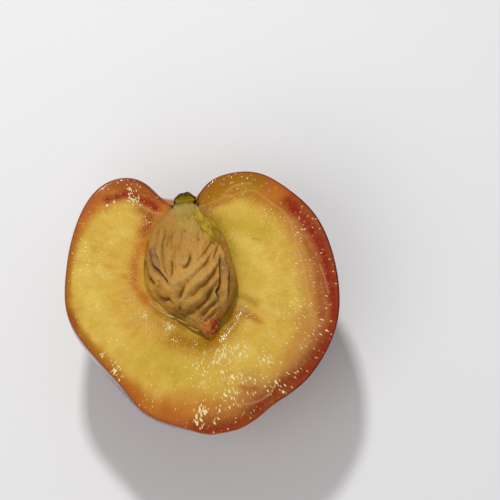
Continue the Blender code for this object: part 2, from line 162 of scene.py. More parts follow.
RIDGES = [                          # (height, half width, points) of the sharpest ridges
    (0.45, 0.50, [(6.8, 14.7), (7.0, 18.1), (7.0, 20.9), (6.8, 23.5), (6.0, 26.5), (5.3, 28.7),
                  (4.4, 30.6)]),
    (0.30, 0.70, [(-9.0, 20.0), (-7.6, 22.4), (-4.6, 22.4), (-1.0, 20.6), (1.6, 17.4)]),
    (0.25, 0.60, [(-6.0, 26.9), (-3.4, 25.4), (0.6, 23.2), (3.6, 20.6), (4.6, 18.2)]),
    (0.25, 0.60, [(-3.6, 28.5), (-0.4, 27.2), (2.4, 25.2), (4.6, 23.0)]),
    (0.22, 0.50, [(-2.0, 31.0), (0.2, 29.7), (2.6, 28.0), (4.2, 26.8)]),
]
BACK_FURROWS = 9                    # plain furrows on the side that lies in the flesh
BACK_FURROW_DEPTH = 0.8

CAVITY_GAP = 0.5                    # room between the stone and the flesh in the solids
FACE_DISH = 0.4                     # how far the face dips beside the stone, and how far out that reaches
FACE_DISH_LENGTH = 4.0
HOLLOW_DEPTH = 1.8                  # round the tip it dips further, in a hollow
HOLLOW_ANGLE = math.radians(-80)
HOLLOW_WIDTH = math.radians(48)
HOLLOW_LENGTH = 3.6
WALL_SLOPE = 30.0                   # how steeply the flesh drops beside the stone
FACE_ROUNDING = 0.15                # and over what length that corner is rounded
TUCK = 0.35                         # how far the flesh reaches in under the stone's edge
MOST_UNDER_SWELL = 1.2              # and how much more it may, where the edge stands above the face
OPEN_ANGLE = math.radians(-140)     # the flesh has come away from the stone a little on this side
OPEN_WIDTH = math.radians(24)
OPEN_GAP = 0.15

STALK_RINGS = [                     # (height on the axis, radius) of the stalk's stub, foot to broken top
    (-0.75, 1.9), (-0.70, 2.7), (-0.2, 3.0), (0.35, 2.7), (0.9, 2.6), (1.3, 2.75), (1.6, 2.7), (1.8, 2.2),
    (1.5, 1.1),
]
STALK_LIFT = 0.3                    # how high the stub's axis lies, and its front where the knife cut it
STALK_CUT = 1.9

# How far the blush reaches in from the skin, going round the stone: (bearing, reach, how red it is).
BLUSH = [
    (-165, 2.2, 0.15), (-145, 3.0, 0.15), (-125, 4.2, 0.20), (-105, 9.5, 0.35), (-90, 14.0, 0.60),
    (-75, 14.5, 0.70), (-60, 12.5, 0.95), (-45, 11.0, 0.90), (-30, 11.5, 1.00), (-15, 12.0, 1.00),
    (0, 12.0, 1.00), (15, 11.0, 0.85), (30, 10.5, 0.50), (45, 9.0, 0.15), (60, 8.0, 0.05), (75, 6.0, 0.05),
    (100, 4.0, 0.30), (115, 8.0, 0.40), (130, 6.5, 0.40), (150, 3.0, 0.20), (175, 1.8, 0.15),
]
# Places where the cut flesh has a colour of its own, the ochre ones partly painted shade: (strength, half
# width, points).
RED_STREAKS = [
    (1.00, 1.5, [(-19.4, 3.3), (-16.3, 3.6), (-13.1, 3.6), (-11.7, 2.6), (-9.5, 0.9), (-7.9, -0.7)]),
    (0.70, 1.7, [(-11.5, -0.2), (-9.6, -2.4), (-9.6, -4.6), (-11.1, -6.6)]),
    (1.00, 2.0, [(26.6, -3.4), (27.8, -4.8), (30.0, -8.4), (31.8, -12.3), (33.1, -16.3), (34.1, -22.2),
                 (34.3, -27.1), (34.4, -32.6), (34.2, -36.4)]),
    (0.60, 1.3, [(29.8, -14.0), (31.2, -19.6), (31.9, -24.6), (31.7, -29.5), (31.0, -35.3)]),
    (0.80, 1.4, [(33.5, -37.9), (30.8, -43.0), (27.2, -47.4), (22.0, -51.5)]),
    (0.55, 1.5, [(27.2, -47.0), (22.0, -50.8), (18.2, -53.0), (14.3, -55.8), (11.4, -58.0)]),
    (0.75, 1.3, [(7.6, -60.2), (5.6, -60.8), (1.4, -61.9), (-1.6, -61.8), (-4.0, -60.8)]),
    (0.30, 0.30, [(16.0, -11.9), (17.6, -12.5)]),
    (0.45, 0.8, [(8.1, -51.1), (9.7, -52.4), (12.4, -52.2)]),
    (0.35, 0.9, [(11.2, -31.9), (12.6, -33.2), (14.0, -34.4)]),
    (0.50, 0.8, [(-32.7, -26.0), (-31.5, -29.9)]),
]
BROWN_STREAKS = [
    (0.85, 2.6, [(30.0, -43.6), (26.2, -47.6), (21.0, -51.4), (17.0, -53.8), (13.2, -56.6), (9.0, -59.2)]),
    (0.65, 2.0, [(6.0, -59.8), (0.0, -60.8), (-5.0, -60.0)]),
    (0.45, 1.6, [(-17.4, 6.4), (-13.8, 6.2), (-10.2, 4.2), (-7.4, 2.2)]),
]
ORANGE_STREAKS = [
    (1.00, 1.8, [(-7.4, -1.4), (-9.6, -4.4), (-11.8, -8.4), (-13.6, -12.4), (-14.9, -16.7), (-15.6, -20.0)]),
    (0.95, 1.7, [(-15.8, -19.4), (-14.6, -23.0), (-13.0, -25.6)]),
    (0.60, 1.2, [(-18.0, -18.4), (-15.6, -20.2)]),
    (0.60, 1.9, [(-27.3, -37.4), (-23.0, -44.4), (-17.6, -50.6), (-11.2, -55.8), (-4.4, -59.0)]),
    (0.45, 3.0, [(-6.7, -54.3), (-0.7, -55.5), (6.3, -55.9), (11.7, -53.9)]),
    (0.45, 1.8, [(22.0, -3.5), (25.2, -7.3), (27.1, -12.5), (28.4, -18.2), (29.2, -24.3), (28.4, -31.9),
                 (25.0, -40.1), (20.3, -45.4)]),
    (0.60, 1.6, [(-30.4, -6.6), (-27.5, -3.4), (-24.4, 1.6), (-20.3, 4.7)]),
    (0.75, 1.6, [(3.5, -1.6), (7.2, -1.6), (10.5, 0.0), (13.3, 1.2)]),
    (0.22, 1.2, [(-31.9, -12.4), (-32.4, -18.8), (-31.9, -26.6), (-29.6, -33.4)]),
    (0.35, 3.2, [(-12.0, -33.0), (-16.0, -30.0), (-18.5, -26.0)]),
    (0.60, 1.0, [(12.2, -32.4), (14.0, -33.6), (15.0, -35.0)]),
    (0.60, 1.6, [(18.4, -0.6), (21.4, -0.6), (24.6, -3.6)]),
]
# Ochre flesh, partly painted shade: in the hollow round the stone's tip and beside the stone's lower left.
OCHRE_AND_SHADE_STREAKS = [
    (1.00, 3.2, [(-6.9, -36.8), (-1.9, -38.2), (3.2, -37.8), (7.3, -34.3), (9.2, -31.2)]),
    (1.00, 3.3, [(7.4, 3.0), (10.4, 4.4), (13.7, 5.3), (18.9, 4.6), (22.7, 2.2), (25.9, -1.4),
                 (28.0, -3.8)]),
    (0.85, 1.6, [(-13.0, -24.6), (-11.0, -27.6), (-8.2, -30.6), (-4.6, -34.0)]),
    (0.65, 1.4, [(10.2, -26.8), (12.0, -28.2), (14.6, -29.6)]),
    (0.75, 2.2, [(13.6, 1.8), (18.0, 0.4), (22.0, -1.4), (26.0, -6.0)]),
    (0.60, 1.2, [(5.0, -0.6), (8.0, -1.6), (11.5, -0.6)]),
    (0.50, 1.1, [(4.6, -2.8), (6.4, -4.6), (7.6, -7.0)]),
    (0.50, 1.0, [(-5.6, 2.0), (-6.6, 0.0), (-7.2, -2.0)]),
    (0.40, 2.0, [(-12.0, -28.0), (-9.0, -33.0), (-6.5, -36.5)]),
]
LIME_STREAKS = [
    (0.95, 1.1, [(3.4, 0.6), (6.0, 2.4), (8.3, 3.8), (11.0, 4.9)]),
    (0.80, 1.3, [(8.0, -5.2), (9.3, -9.0), (10.5, -12.7), (11.4, -16.0)]),
    (0.60, 2.4, [(9.4, -7.0), (14.0, -9.0), (19.0, -10.0)]),
    (0.80, 0.7, [(-4.6, 0.2), (-4.0, -1.3)]),
    (0.45, 3.4, [(-14.0, -41.0), (-9.0, -44.4), (-4.0, -46.0)]),
    (0.35, 2.6, [(12.4, -18.0), (14.4, -24.0)]),
]
PALE_PLACES = [
    (0.80, 2.8, [(11.6, -10.6), (16.0, -15.4), (19.0, -20.4), (19.8, -26.0)]),
    (0.60, 2.6, [(13.2, -22.0), (14.8, -26.6), (18.0, -33.0)]),
    (0.70, 3.2, [(-27.6, -17.0), (-26.6, -24.0), (-22.4, -30.0)]),
    (0.45, 2.4, [(-20.6, -3.4), (-16.6, -6.0)]),
    (0.50, 3.0, [(14.0, -40.0), (8.0, -45.0)]),
]
PALE_THREADS = [
    (0.29, 0.24, [(2.4, -1.9), (6.7, -1.1), (11.0, 0.6)]),
    (0.30, 0.24, [(11.2, -0.2), (13.7, 0.6), (18.5, 0.8), (20.7, -1.7), (24.9, -5.6), (26.6, -11.1),
                  (27.2, -16.1), (27.9, -20.1), (28.3, -25.3)]),
    (0.32, 0.26, [(28.3, -25.3), (28.4, -28.6), (28.7, -31.9), (27.8, -35.1)]),
    (0.40, 0.22, [(10.9, 1.5), (14.0, 3.1), (17.4, 3.1)]),
    (0.36, 0.26, [(17.5, -49.1), (16.9, -52.0), (14.8, -54.4), (9.5, -56.1), (5.4, -55.8)]),
    (0.40, 0.24, [(-14.1, 2.1), (-11.9, 0.7), (-9.0, -1.4), (-6.5, -2.2)]),
    (0.36, 0.24, [(32.4, -21.5), (33.2, -25.4), (33.6, -29.3)]),
    (0.29, 0.15, [(5.1, -3.4), (7.5, -2.6), (9.7, -2.0)]),
    (0.25, 0.15, [(4.5, -2.5), (7.1, -1.9), (8.8, -0.9)]),
    (0.25, 0.15, [(5.8, -4.3), (8.1, -4.0), (9.2, -3.5)]),
]
SKIN_GLIMPSES = [                   # where the skin shows along the rim
    (0.85, 0.55, [(-15.8, 8.3), (-12.6, 7.7), (-10.2, 6.4), (-7.4, 3.4), (-5.3, 0.8)]),
]
WET_GLINT_PLACES = [                      # (strength, radius, centre) of places where juice stands in beads, with bright glints painted on them
    (1.00, 3.6, (4.2, -42.9)), (0.95, 3.0, (9.4, -41.9)), (0.75, 3.6, (-0.6, -45.0)),
    (0.90, 2.4, (15.2, -44.8)), (0.85, 3.0, (10.1, -49.0)), (0.90, 3.0, (6.1, -48.5)),
    (1.00, 2.4, (-2.0, -56.5)), (1.10, 1.8, (-3.2, -58.6)), (1.10, 1.5, (5.3, -37.9)),
    (1.00, 1.3, (6.9, -35.4)), (1.00, 2.2, (-8.0, -33.3)), (0.80, 2.4, (-14.2, -29.3)),
    (0.80, 1.6, (-16.7, -24.1)), (0.90, 1.4, (-16.3, -18.4)), (0.95, 2.2, (-12.7, 2.5)),
    (0.75, 1.8, (-14.0, 5.1)), (0.70, 2.2, (-10.0, -5.7)), (0.70, 1.8, (-18.5, 2.1)),
    (0.95, 2.2, (-22.9, -43.8)), (0.75, 1.4, (-26.4, -38.6)), (0.80, 2.4, (16.8, -52.5)),
    (0.75, 1.8, (21.7, -50.4)), (0.90, 1.8, (11.7, -32.0)), (0.65, 5.0, (6.5, -53.3)),
    (0.70, 1.4, (12.0, 4.4)), (0.65, 1.4, (15.8, 5.1)), (0.50, 2.4, (20.6, -6.2)),
    (0.45, 2.2, (11.6, -11.7)), (0.45, 3.0, (25.2, -19.4)), (0.80, 1.4, (-6.4, -37.3)),
    (0.50, 6.0, (4.0, -50.0)), (0.40, 7.0, (22.0, -34.0)), (0.40, 4.0, (30.0, -40.0)),
    (0.35, 6.0, (-26.0, -12.0)), (0.55, 3.6, (1.0, -58.0)), (0.45, 2.4, (29.4, -12.0)),
]

# ---------------------------------------------------------------- shapes worked out in the fruit frame

STEPS_TO_A_POINT = 4                # a marked line is smoothed into this many steps for each of its points
FURROW_END = 0.35                   # a furrow's share of its depth at its two ends
BROAD_WIDTH = 1.7                   # a furrow's trough and crease, as shares of its half width
CREASE_WIDTH = 0.75
OUTLINE_STEPS = 720
BOX_ROWS, BOX_COLUMNS = 72, 56      # points of the skin that are enough to find its box


def spline(knots, values, at):
    """Natural cubic spline through values at knots, read at the numbers in at."""
    knots, values = np.asarray(knots, float), np.asarray(values, float)
    count, step = len(knots), np.diff(knots)
    matrix, right = np.eye(count), np.zeros_like(values)
    for i in range(1, count - 1):
        matrix[i, i - 1:i + 2] = step[i - 1], 2 * (step[i - 1] + step[i]), step[i]
        right[i] = 6 * ((values[i + 1] - values[i]) / step[i] - (values[i] - values[i - 1]) / step[i - 1])
    bend = np.linalg.solve(matrix, right)
    i = np.clip(np.searchsorted(knots, at) - 1, 0, count - 2)
    h = step[i][:, None]
    a, b = (knots[i + 1] - at)[:, None] / h, (at - knots[i])[:, None] / h
    return a * values[i] + b * values[i + 1] + ((a**3 - a) * bend[i] + (b**3 - b) * bend[i + 1]) * h**2 / 6


def smooth_line(points, count):
    """count points along a smooth curve through points."""
    points = np.asarray(points, float)
    knots = np.concatenate([[0], np.cumsum(np.linalg.norm(np.diff(points, axis=0), axis=1))])
    return spline(knots, points, np.linspace(0, knots[-1], count))


def lumps(points, size, seed):
    """Smooth noise from -1 to 1, with lumps about size across, at each point."""
    table = np.random.default_rng(seed).uniform(-1, 1, (32, 32, 32))
    place = np.asarray(points, float) / size
    cell = np.floor(place).astype(int)
    part = place - cell
    part = part * part * (3 - 2 * part)
    total = np.zeros(place.shape[:-1])
    for corner in itertools.product((0, 1), repeat=3):
        corner = np.array(corner)
        weight = np.prod(np.where(corner, part, 1 - part), axis=-1)
        x, y, z = np.moveaxis((cell + corner) % 32, -1, 0)
        total += weight * table[x, y, z]
    return total


def waves(points, *layers):
    """Layers of lumps added up, each as (height, size, seed)."""
    return sum(height * lumps(points, size, seed) for height, size, seed in layers)


def fade(value, low, high):
    """0 below low, 1 above high and smooth between them."""
    t = np.clip((value - low) / (high - low), 0, 1)
    return t * t * (3 - 2 * t)


def hump(away, width):
    """1 where away is 0, and next to nothing from about two widths off."""
    return np.exp(-((away / width) ** 2))


def arch(share):
    """The height of a circle of radius 1 at each share of its half width, and 0 outside it."""
    return np.sqrt(np.clip(1 - share**2, 0, 1))


def turned_from(angle, other):
    """How far angle is turned from other, between half a turn back and half a turn on."""
    return (angle - other + math.pi) % (2 * math.pi) - math.pi


def on_plane(x, y):
    """Places on the plane z = 0 as points."""
    return np.stack([x, y, np.zeros_like(x)], axis=-1)


def listed(grid):
    """A grid's values as one list, row after row."""
    return grid.reshape(-1, *grid.shape[2:])


def nearest_on_line(x, y, points):
    """From each place to a line drawn through points: the distance, and where along the line it ends."""
    nearest, along, start = np.full(np.shape(x), np.inf), np.zeros(np.shape(x)), 0.0
    for (x0, y0), (x1, y1) in zip(points, points[1:]):
        step = math.hypot(x1 - x0, y1 - y0)
        t = np.clip(((x - x0) * (x1 - x0) + (y - y0) * (y1 - y0)) / step**2, 0, 1)
        away = np.hypot(x - x0 - t * (x1 - x0), y - y0 - t * (y1 - y0))
        along = np.where(away < nearest, start + t * step, along)
        nearest = np.minimum(nearest, away)
        start += step
    return nearest, along


def streaks(x, y, lines):
    """How strongly lines, each (strength, half width, points), mark each place."""
    mark = np.zeros(np.shape(x))
    for strength, half_width, points in lines:
        smooth = smooth_line(points, STEPS_TO_A_POINT * len(points))
        mark = np.maximum(mark, strength * hump(nearest_on_line(x, y, smooth)[0], half_width))
    return mark


def trough_and_crease(x, y, points, half_width):
    """The shares of a furrow's broad trough and of its narrow crease at each place, less at its two ends."""
    smooth = smooth_line(points, STEPS_TO_A_POINT * len(points))
    length = np.sum(np.linalg.norm(np.diff(smooth, axis=0), axis=1))
    nearest, along = nearest_on_line(x, y, smooth)
    taper = fade(np.minimum(along, length - along), 0.0, min(1.6, 0.4 * length))
    deep = FURROW_END + (1 - FURROW_END) * taper
    return hump(nearest, BROAD_WIDTH * half_width) * deep, hump(nearest, CREASE_WIDTH * half_width) * deep


def skin_outlines(rows):
    """The right, back and left outline, each as rows + 1 points from the stalk's seat to the tip."""
    outlines = [np.array(o) for o in (RIGHT_OUTLINE, BACK_OUTLINE, LEFT_OUTLINE)]
    strides = np.mean([np.linalg.norm(np.diff(o, axis=0), axis=1) for o in outlines], axis=0)
    knots = np.concatenate([[0], np.cumsum(strides)])
    # Mirrored points past the tip make each outline cross the axis level.
    knots = np.concatenate([knots, knots[-1] + np.cumsum(strides[:-3:-1])])
    at = np.linspace(0, knots[len(strides)], rows + 1)
    return [spline(knots, np.vstack([o, o[-2:-4:-1] * (-1, 1)]), at) for o in outlines]


def skin_points(rows, columns):
    """The skin's outside: rows from the stalk's seat to the tip, columns round the back from the right."""
    right, back, left = skin_outlines(rows)
    turn = np.linspace(0, math.pi, columns + 1)[None, :, None]
    side = np.where(turn < math.pi / 2, right[:, None, :], left[:, None, :])
    mixed = side * (1 - np.sin(turn)) + back[:, None, :] * np.sin(turn)
    radius, height = mixed[..., 0], mixed[..., 1]
    turn = turn[..., 0]
    along = np.linspace(0, 1, rows + 1)[:, None]
    seam = hump(turn - SEAM_ANGLE, SEAM_WIDTH) * np.sin(math.pi * along) ** 0.7
    radius = radius - SEAM_DEPTH * seam
    x, y, z = radius * np.cos(turn), height, -radius * np.sin(turn)
    z = np.maximum(z, z.min() + REST_SPOT_DEPTH)
    return np.stack([x, y, z], axis=-1)


def outward(points):
    """The unit normals of a grid of skin points, facing out, with those of the two cut edges level."""
    down, round_back = np.gradient(points, axis=0), np.gradient(points, axis=1)
    normal = np.cross(down, round_back)
    normal[:, 0, 2] = normal[:, -1, 2] = 0
    normal[-1] = (0, -1, 0)
    normal /= np.maximum(np.linalg.norm(normal, axis=-1, keepdims=True), 1e-9)
    facing = np.sign(np.sum(normal * (points - np.array(MIDDLE_OF_FRUIT)), axis=-1))
    return normal * np.sign(np.median(facing))


def stone_to_fruit(across, down):
    """A place on the stone, (across, distance from its stem end), as (x, y) in the fruit frame."""
    c, s = math.cos(STONE_TURN), math.sin(STONE_TURN)
    return STONE_END[0] + across * c + down * s, STONE_END[1] + across * s - down * c


def fruit_to_stone(x, y):
    """The reverse of stone_to_fruit."""
    c, s = math.cos(STONE_TURN), math.sin(STONE_TURN)
    x, y = x - STONE_END[0], y - STONE_END[1]
    return x * c + y * s, x * s - y * c


def round_stone(x, y):
    """How far each place lies from the stone's middle, and at what angle from it."""
    centre_x, centre_y = stone_to_fruit(*STONE_CENTRE)
    return np.hypot(x - centre_x, y - centre_y), np.arctan2(y - centre_y, x - centre_x)


def on_stone(reach, angle):
    """The reverse of round_stone, with the place given on the stone."""
    centre_x, centre_y = stone_to_fruit(*STONE_CENTRE)
    return fruit_to_stone(centre_x + reach * np.cos(angle), centre_y + reach * np.sin(angle))


def stone_edges(turn):
    """The stone's left and right edge at each turn, from 0 at its stem end to half a turn at its tip."""
    edges = np.array(STONE_EDGES)
    return spline(np.arccos(1 - 2 * edges[:, 0] / STONE_LENGTH), edges[:, 1:], turn).T


def stone_outline(count):
    """The stone's edge from above, as count places on the stone, clockwise from its stem end."""
    at = np.linspace(0, 2 * math.pi, count, endpoint=False)
    turn = np.minimum(at, 2 * math.pi - at)
    left, right = stone_edges(turn)
    across = np.where(at <= math.pi, right, -left)
    return np.stack([across, STONE_LENGTH / 2 * (1 - np.cos(turn))], axis=-1)


def stone_section(down):
    """Across the stone at each distance from its stem end: its middle, half width and half thickness."""
    down = np.clip(down, 0, STONE_LENGTH)
    left, right = stone_edges(np.arccos(1 - 2 * down.ravel() / STONE_LENGTH))
    left, right = left.reshape(down.shape), right.reshape(down.shape)
    half = np.maximum((left + right) / 2, 1e-6)
    return (right - left) / 2, half, STONE_HALF_THICKNESS * (2 * half / STONE_WIDTH) ** STONE_FULLNESS


def rolled(across):
    """How far the stone's roll lifts each place on it."""
    return STONE_ROLL * (across - STONE_CENTRE[0])


def stone_top(across, down):
    """The height of the stone's upper face, without its furrows, at each place on it."""
    middle, half, thick = stone_section(down)
    return thick * arch((across - middle) / half) + rolled(across)


def stone_reach(angle):
    """How far the stone's edge lies from its middle, in the fruit frame, at each angle."""
    reach, bearing = round_stone(*stone_to_fruit(*stone_outline(OUTLINE_STEPS).T))
    order = np.argsort(bearing)
    return np.interp(angle, bearing[order], reach[order], period=2 * math.pi)


def smooth_min(a, b, k):
    """The lower of a and b, with the crease between them rounded over k."""
    h = np.clip(0.5 + 0.5 * (b - a) / k, 0, 1)
    return b * (1 - h) + a * h - k * h * (1 - h)


def hollow_depth(angle):
    """How deep the hollow in the flesh is beside the stone at each angle."""
    return HOLLOW_DEPTH * hump(turned_from(angle, HOLLOW_ANGLE), HOLLOW_WIDTH)


def meeting(angle):
    """How far outside the stone's widest edge the flesh starts at each angle: mostly under its swell."""
    across, down = on_stone(stone_reach(angle), angle)
    _, half, thick = stone_section(down)
    rise = np.clip((-FACE_DISH - hollow_depth(angle) - rolled(across)) / thick, -0.9, 0.9)
    swell = np.minimum(half * (1 - np.sqrt(1 - rise**2)), MOST_UNDER_SWELL)
    return OPEN_GAP * hump(turned_from(angle, OPEN_ANGLE), OPEN_WIDTH) - swell - TUCK


def face_height(x, y):
    """The height of the cut side at each place: the face, the stone's bowl and the stalk's seat."""
    reach, angle = round_stone(x, y)
    stone = stone_reach(angle)
    edge = stone + meeting(angle)
    beyond = np.maximum(reach - edge, 0)
    hollow = hollow_depth(angle) * hump(beyond, HOLLOW_LENGTH)
    face = -FACE_DISH * np.exp(-beyond / FACE_DISH_LENGTH) - hollow
    across, down = on_stone(np.minimum(reach / edge, 1) * stone, angle)
    middle, half, thick = stone_section(down)
    bowl = -thick * arch((across - middle) / half) - CAVITY_GAP
    bowl = bowl + rolled(across) + WALL_SLOPE * beyond
    seat = -np.sqrt(np.clip(SEAT_RADIUS**2 - x**2, 0, None))
    seat = np.where((y > STONE_END[1] - 3) & (np.abs(x) < SEAT_RADIUS), seat, 0)
    return np.minimum(smooth_min(face, bowl, FACE_ROUNDING), seat)


def spaced(count, evenness):
    """count + 1 numbers from 0 to 1: even steps mixed with steps that shorten towards both ends."""
    s = np.linspace(0, 1, count + 1)
    return evenness * s + (1 - evenness) * (1 - np.cos(math.pi * s)) / 2


def frame_shift():
    """Where the fruit frame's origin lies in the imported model's frame, in millimetres."""
    low, high = (np.array(corner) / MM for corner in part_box("fruit_half"))
    skin = listed(skin_points(BOX_ROWS, BOX_COLUMNS))
    middle = (low + high - skin.min(axis=0) - skin.max(axis=0)) / 2
    return np.array([middle[0], middle[1], high[2]])


# ---------------------------------------------------------------- meshes

def grid_faces(rows, columns, closed=False, start=0):
    """The squares of a grid of points numbered from start; closed joins its first and last column."""
    index = start + np.arange(rows * columns).reshape(rows, columns)
    after = np.roll(index, -1, axis=1)
    if not closed:
        index, after = index[:, :-1], after[:, :-1]
    return listed(np.stack([index[:-1], after[:-1], after[1:], index[1:]], axis=-1))


def fan_faces(ring, point):
    """Triangles from a closed ring of point numbers to one point."""
    return np.stack([ring, np.roll(ring, -1), np.full(len(ring), point)], axis=-1)


def turned_over(faces):
    """Groups of faces that look the other way."""
    return [group[:, ::-1] for group in faces]


def tube_faces(rows, columns):
    """A tube of rings of points, closed at each end by one more point, which come last in the list."""
    count = rows * columns
    first_ring, last_ring = np.arange(columns), count - columns + np.arange(columns)
    return [
        grid_faces(rows, columns, closed=True),
        fan_faces(first_ring, count)[:, ::-1],
        fan_faces(last_ring, count + 1),
    ]


def tube(rings):
    """A tube closed by the middle of each end ring: its points and faces."""
    ends = np.array([rings[0].mean(axis=0), rings[-1].mean(axis=0)])
    return np.vstack([listed(rings), ends]), tube_faces(*rings.shape[:2])


def listed_to_tip(grid):
    """A grid's values as one list, with its last row, which is a single place, once."""
    return np.concatenate([listed(grid[:-1]), grid[-1, :1]])


def faces_to_tip(rows, columns, start=0):
    """A grid whose last row is a single place: the number of each point, and its faces."""
    tip = start + (rows - 1) * columns
    numbers = np.vstack([np.arange(start, tip).reshape(rows - 1, columns), np.full(columns, tip)])
    last = np.stack([numbers[-2, :-1], numbers[-2, 1:], np.full(columns - 1, tip)], axis=-1)
    return numbers, [grid_faces(rows - 1, columns, start=start), last]


def new_object(name, data):
    """An object in the scene that holds data."""
    holder = bpy.data.objects.new(name, data)
    bpy.context.scene.collection.objects.link(holder)
    return holder


def add_piece(name, points, faces, finish, marks):
    """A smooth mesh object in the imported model's frame, with its marks as point attributes."""
    mesh = bpy.data.meshes.new(name)
    faces = [face for group in faces for face in group.tolist()]
    mesh.from_pydata(((points + frame_shift()) * MM).tolist(), [], faces)
    mesh.materials.append(finish)
    for mark, values in marks.items():
        values = values.astype(np.float32)
        kind, field = ("FLOAT_VECTOR", "vector") if values.ndim == 2 else ("FLOAT", "value")
        mesh.attributes.new(mark, kind, "POINT").data.foreach_set(field, values.ravel())
    mesh.shade_smooth()
    piece = new_object(name, mesh)
    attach(piece, "root")
    return piece


# ---------------------------------------------------------------- finishes

class Finish:
    """A material in the making: its Principled shader and the nodes that feed it."""

    def __init__(self, name):
        self.material = bpy.data.materials.new(name)
        self.material.use_nodes = True
        self.tree = self.material.node_tree
        self.shader = self.tree.nodes["Principled BSDF"]

    def feed(self, socket, value):
        """Links a socket from another socket, or sets it to a value."""
        if isinstance(value, bpy.types.NodeSocket):
            self.tree.links.new(value, socket)
        else:
            socket.default_value = value

    def add(self, kind, inputs, **settings):
        """A node with its settings, and its inputs by name or number."""
        node = self.tree.nodes.new(kind)
        for name, value in settings.items():
            setattr(node, name, value)
        for key, value in inputs.items():
            self.feed(node.inputs[key], value)
        return node

    def mark(self, name):
        """A piece's mark."""
        return self.add("ShaderNodeAttribute", {}, attribute_name=name).outputs["Fac"]

    def marked_place(self, name):
        """A piece's mark that is a place."""
        return self.add("ShaderNodeAttribute", {}, attribute_name=name).outputs["Vector"]

    def place(self):
        """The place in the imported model's frame, in metres."""
        return self.add("ShaderNodeTexCoord", {}).outputs["Object"]

    def noise(self, place, size, detail=2.0, roughness=0.5):
        """Noise from 0 to 1 with lumps about size across, in the units of place."""
        inputs = {"Vector": place, "Scale": 1 / size, "Detail": detail, "Roughness": roughness}
        return self.add("ShaderNodeTexNoise", inputs).outputs["Fac"]

    def stretched(self, place, shares):
        """place with each of its parts multiplied by one of shares."""
        return self.add("ShaderNodeVectorMath", {0: place, 1: shares}, operation="MULTIPLY").outputs[0]

    def spots(self, place, size):
        """The distance to the nearest of many scattered points, in cells of size."""
        return self.add("ShaderNodeTexVoronoi", {"Vector": place, "Scale": 1 / size}).outputs["Distance"]

    def maths(self, operation, a, b):
        """Two numbers put together."""
        return self.add("ShaderNodeMath", {0: a, 1: b}, operation=operation).outputs[0]

    def times(self, a, b):
        return self.maths("MULTIPLY", a, b)

    def plus(self, a, b):
        return self.maths("ADD", a, b)

    def larger(self, a, b):
        return self.maths("MAXIMUM", a, b)

    def swayed(self, value, noise, reach):
        """value, moved up and down by noise, by half of reach at most."""
        return self.plus(value, self.times(self.plus(noise, -0.5), reach))

    def fade(self, value, low, high, floor=0.0, top=1.0):
        """floor below low and top above high, smooth between them."""
        inputs = {"Value": value, "From Min": low, "From Max": high, "To Min": floor, "To Max": top}
        return self.add("ShaderNodeMapRange", inputs, interpolation_type="SMOOTHSTEP").outputs[0]

    def mix(self, share, a, b):
        """Colour a, changed towards colour b by share."""
        node = self.add("ShaderNodeMix", {0: share}, data_type="RGBA")
        for socket, colour in ((node.inputs[6], a), (node.inputs[7], b)):
            self.feed(socket, colour if isinstance(colour, bpy.types.NodeSocket) else (*colour, 1.0))
        return node.outputs[2]

    def tinted(self, colour, tint, noise, low, high, most):
        """colour, changed towards tint by up to most as noise goes from low to high."""
        return self.mix(self.fade(noise, low, high, 0.0, most), colour, tint)

    def painted(self, colour, paint, mark, noise, low, high, thin, thick=1.0):
        """colour, covered by paint where mark is strong: thinly where noise is low, thickly where high."""
        return self.mix(self.times(self.mark(mark), self.fade(noise, low, high, thin, thick)), colour, paint)

    def ramp(self, value, stops):
        """Colours from (place, colour) stops, read at value."""
        node = self.add("ShaderNodeValToRGB", {0: value})
        elements = node.color_ramp.elements
        elements.remove(elements[1])
        for number, (place, colour) in enumerate(stops):
            element = elements[0] if number == 0 else elements.new(place)
            element.position, element.color = place, (*colour, 1.0)
        return node.outputs[0]

    def bump(self, height, depth, under=None):
        """Relief of depth metres from a height of 0 to 1, on top of the relief under it."""
        inputs = {"Height": height, "Distance": depth, "Strength": 1.0}
        if under is not None:
            inputs["Normal"] = under
        return self.add("ShaderNodeBump", inputs).outputs[0]

    def wire(self, **sockets):
        """Feeds the shader's sockets, named with _ for spaces."""
        for name, value in sockets.items():
            self.feed(self.shader.inputs[name.replace("_", " ")], value)


def colour_choice(name, about, value):
    """A colour that the user can change."""
    return bpy.props.FloatVectorProperty(
        name=name, description=about, subtype="COLOR", size=3, min=0.0, max=1.0, default=value
    )


def length_choice(name, about, value, largest):
    """A length that the user can change."""
    return bpy.props.FloatProperty(
        name=name, description=about, subtype="DISTANCE", unit="LENGTH", min=0.0, max=largest, default=value,
        precision=5,
    )


def share_choice(name, about, value):
    """A share from 0 to 1 that the user can change."""
    return bpy.props.FloatProperty(
        name=name, description=about, subtype="FACTOR", min=0.0, max=1.0, default=value
    )


def angle_choice(name, about, degrees):
    """An angle that the user can change."""
    return bpy.props.FloatProperty(
        name=name, description=about, subtype="ANGLE", default=math.radians(degrees)
    )


def power_choice(name, about, value):
    """A light's power that the user can change."""
    return bpy.props.FloatProperty(
        name=name, description=about, subtype="POWER", unit="POWER", default=value
    )


# ---------------------------------------------------------------- the flesh

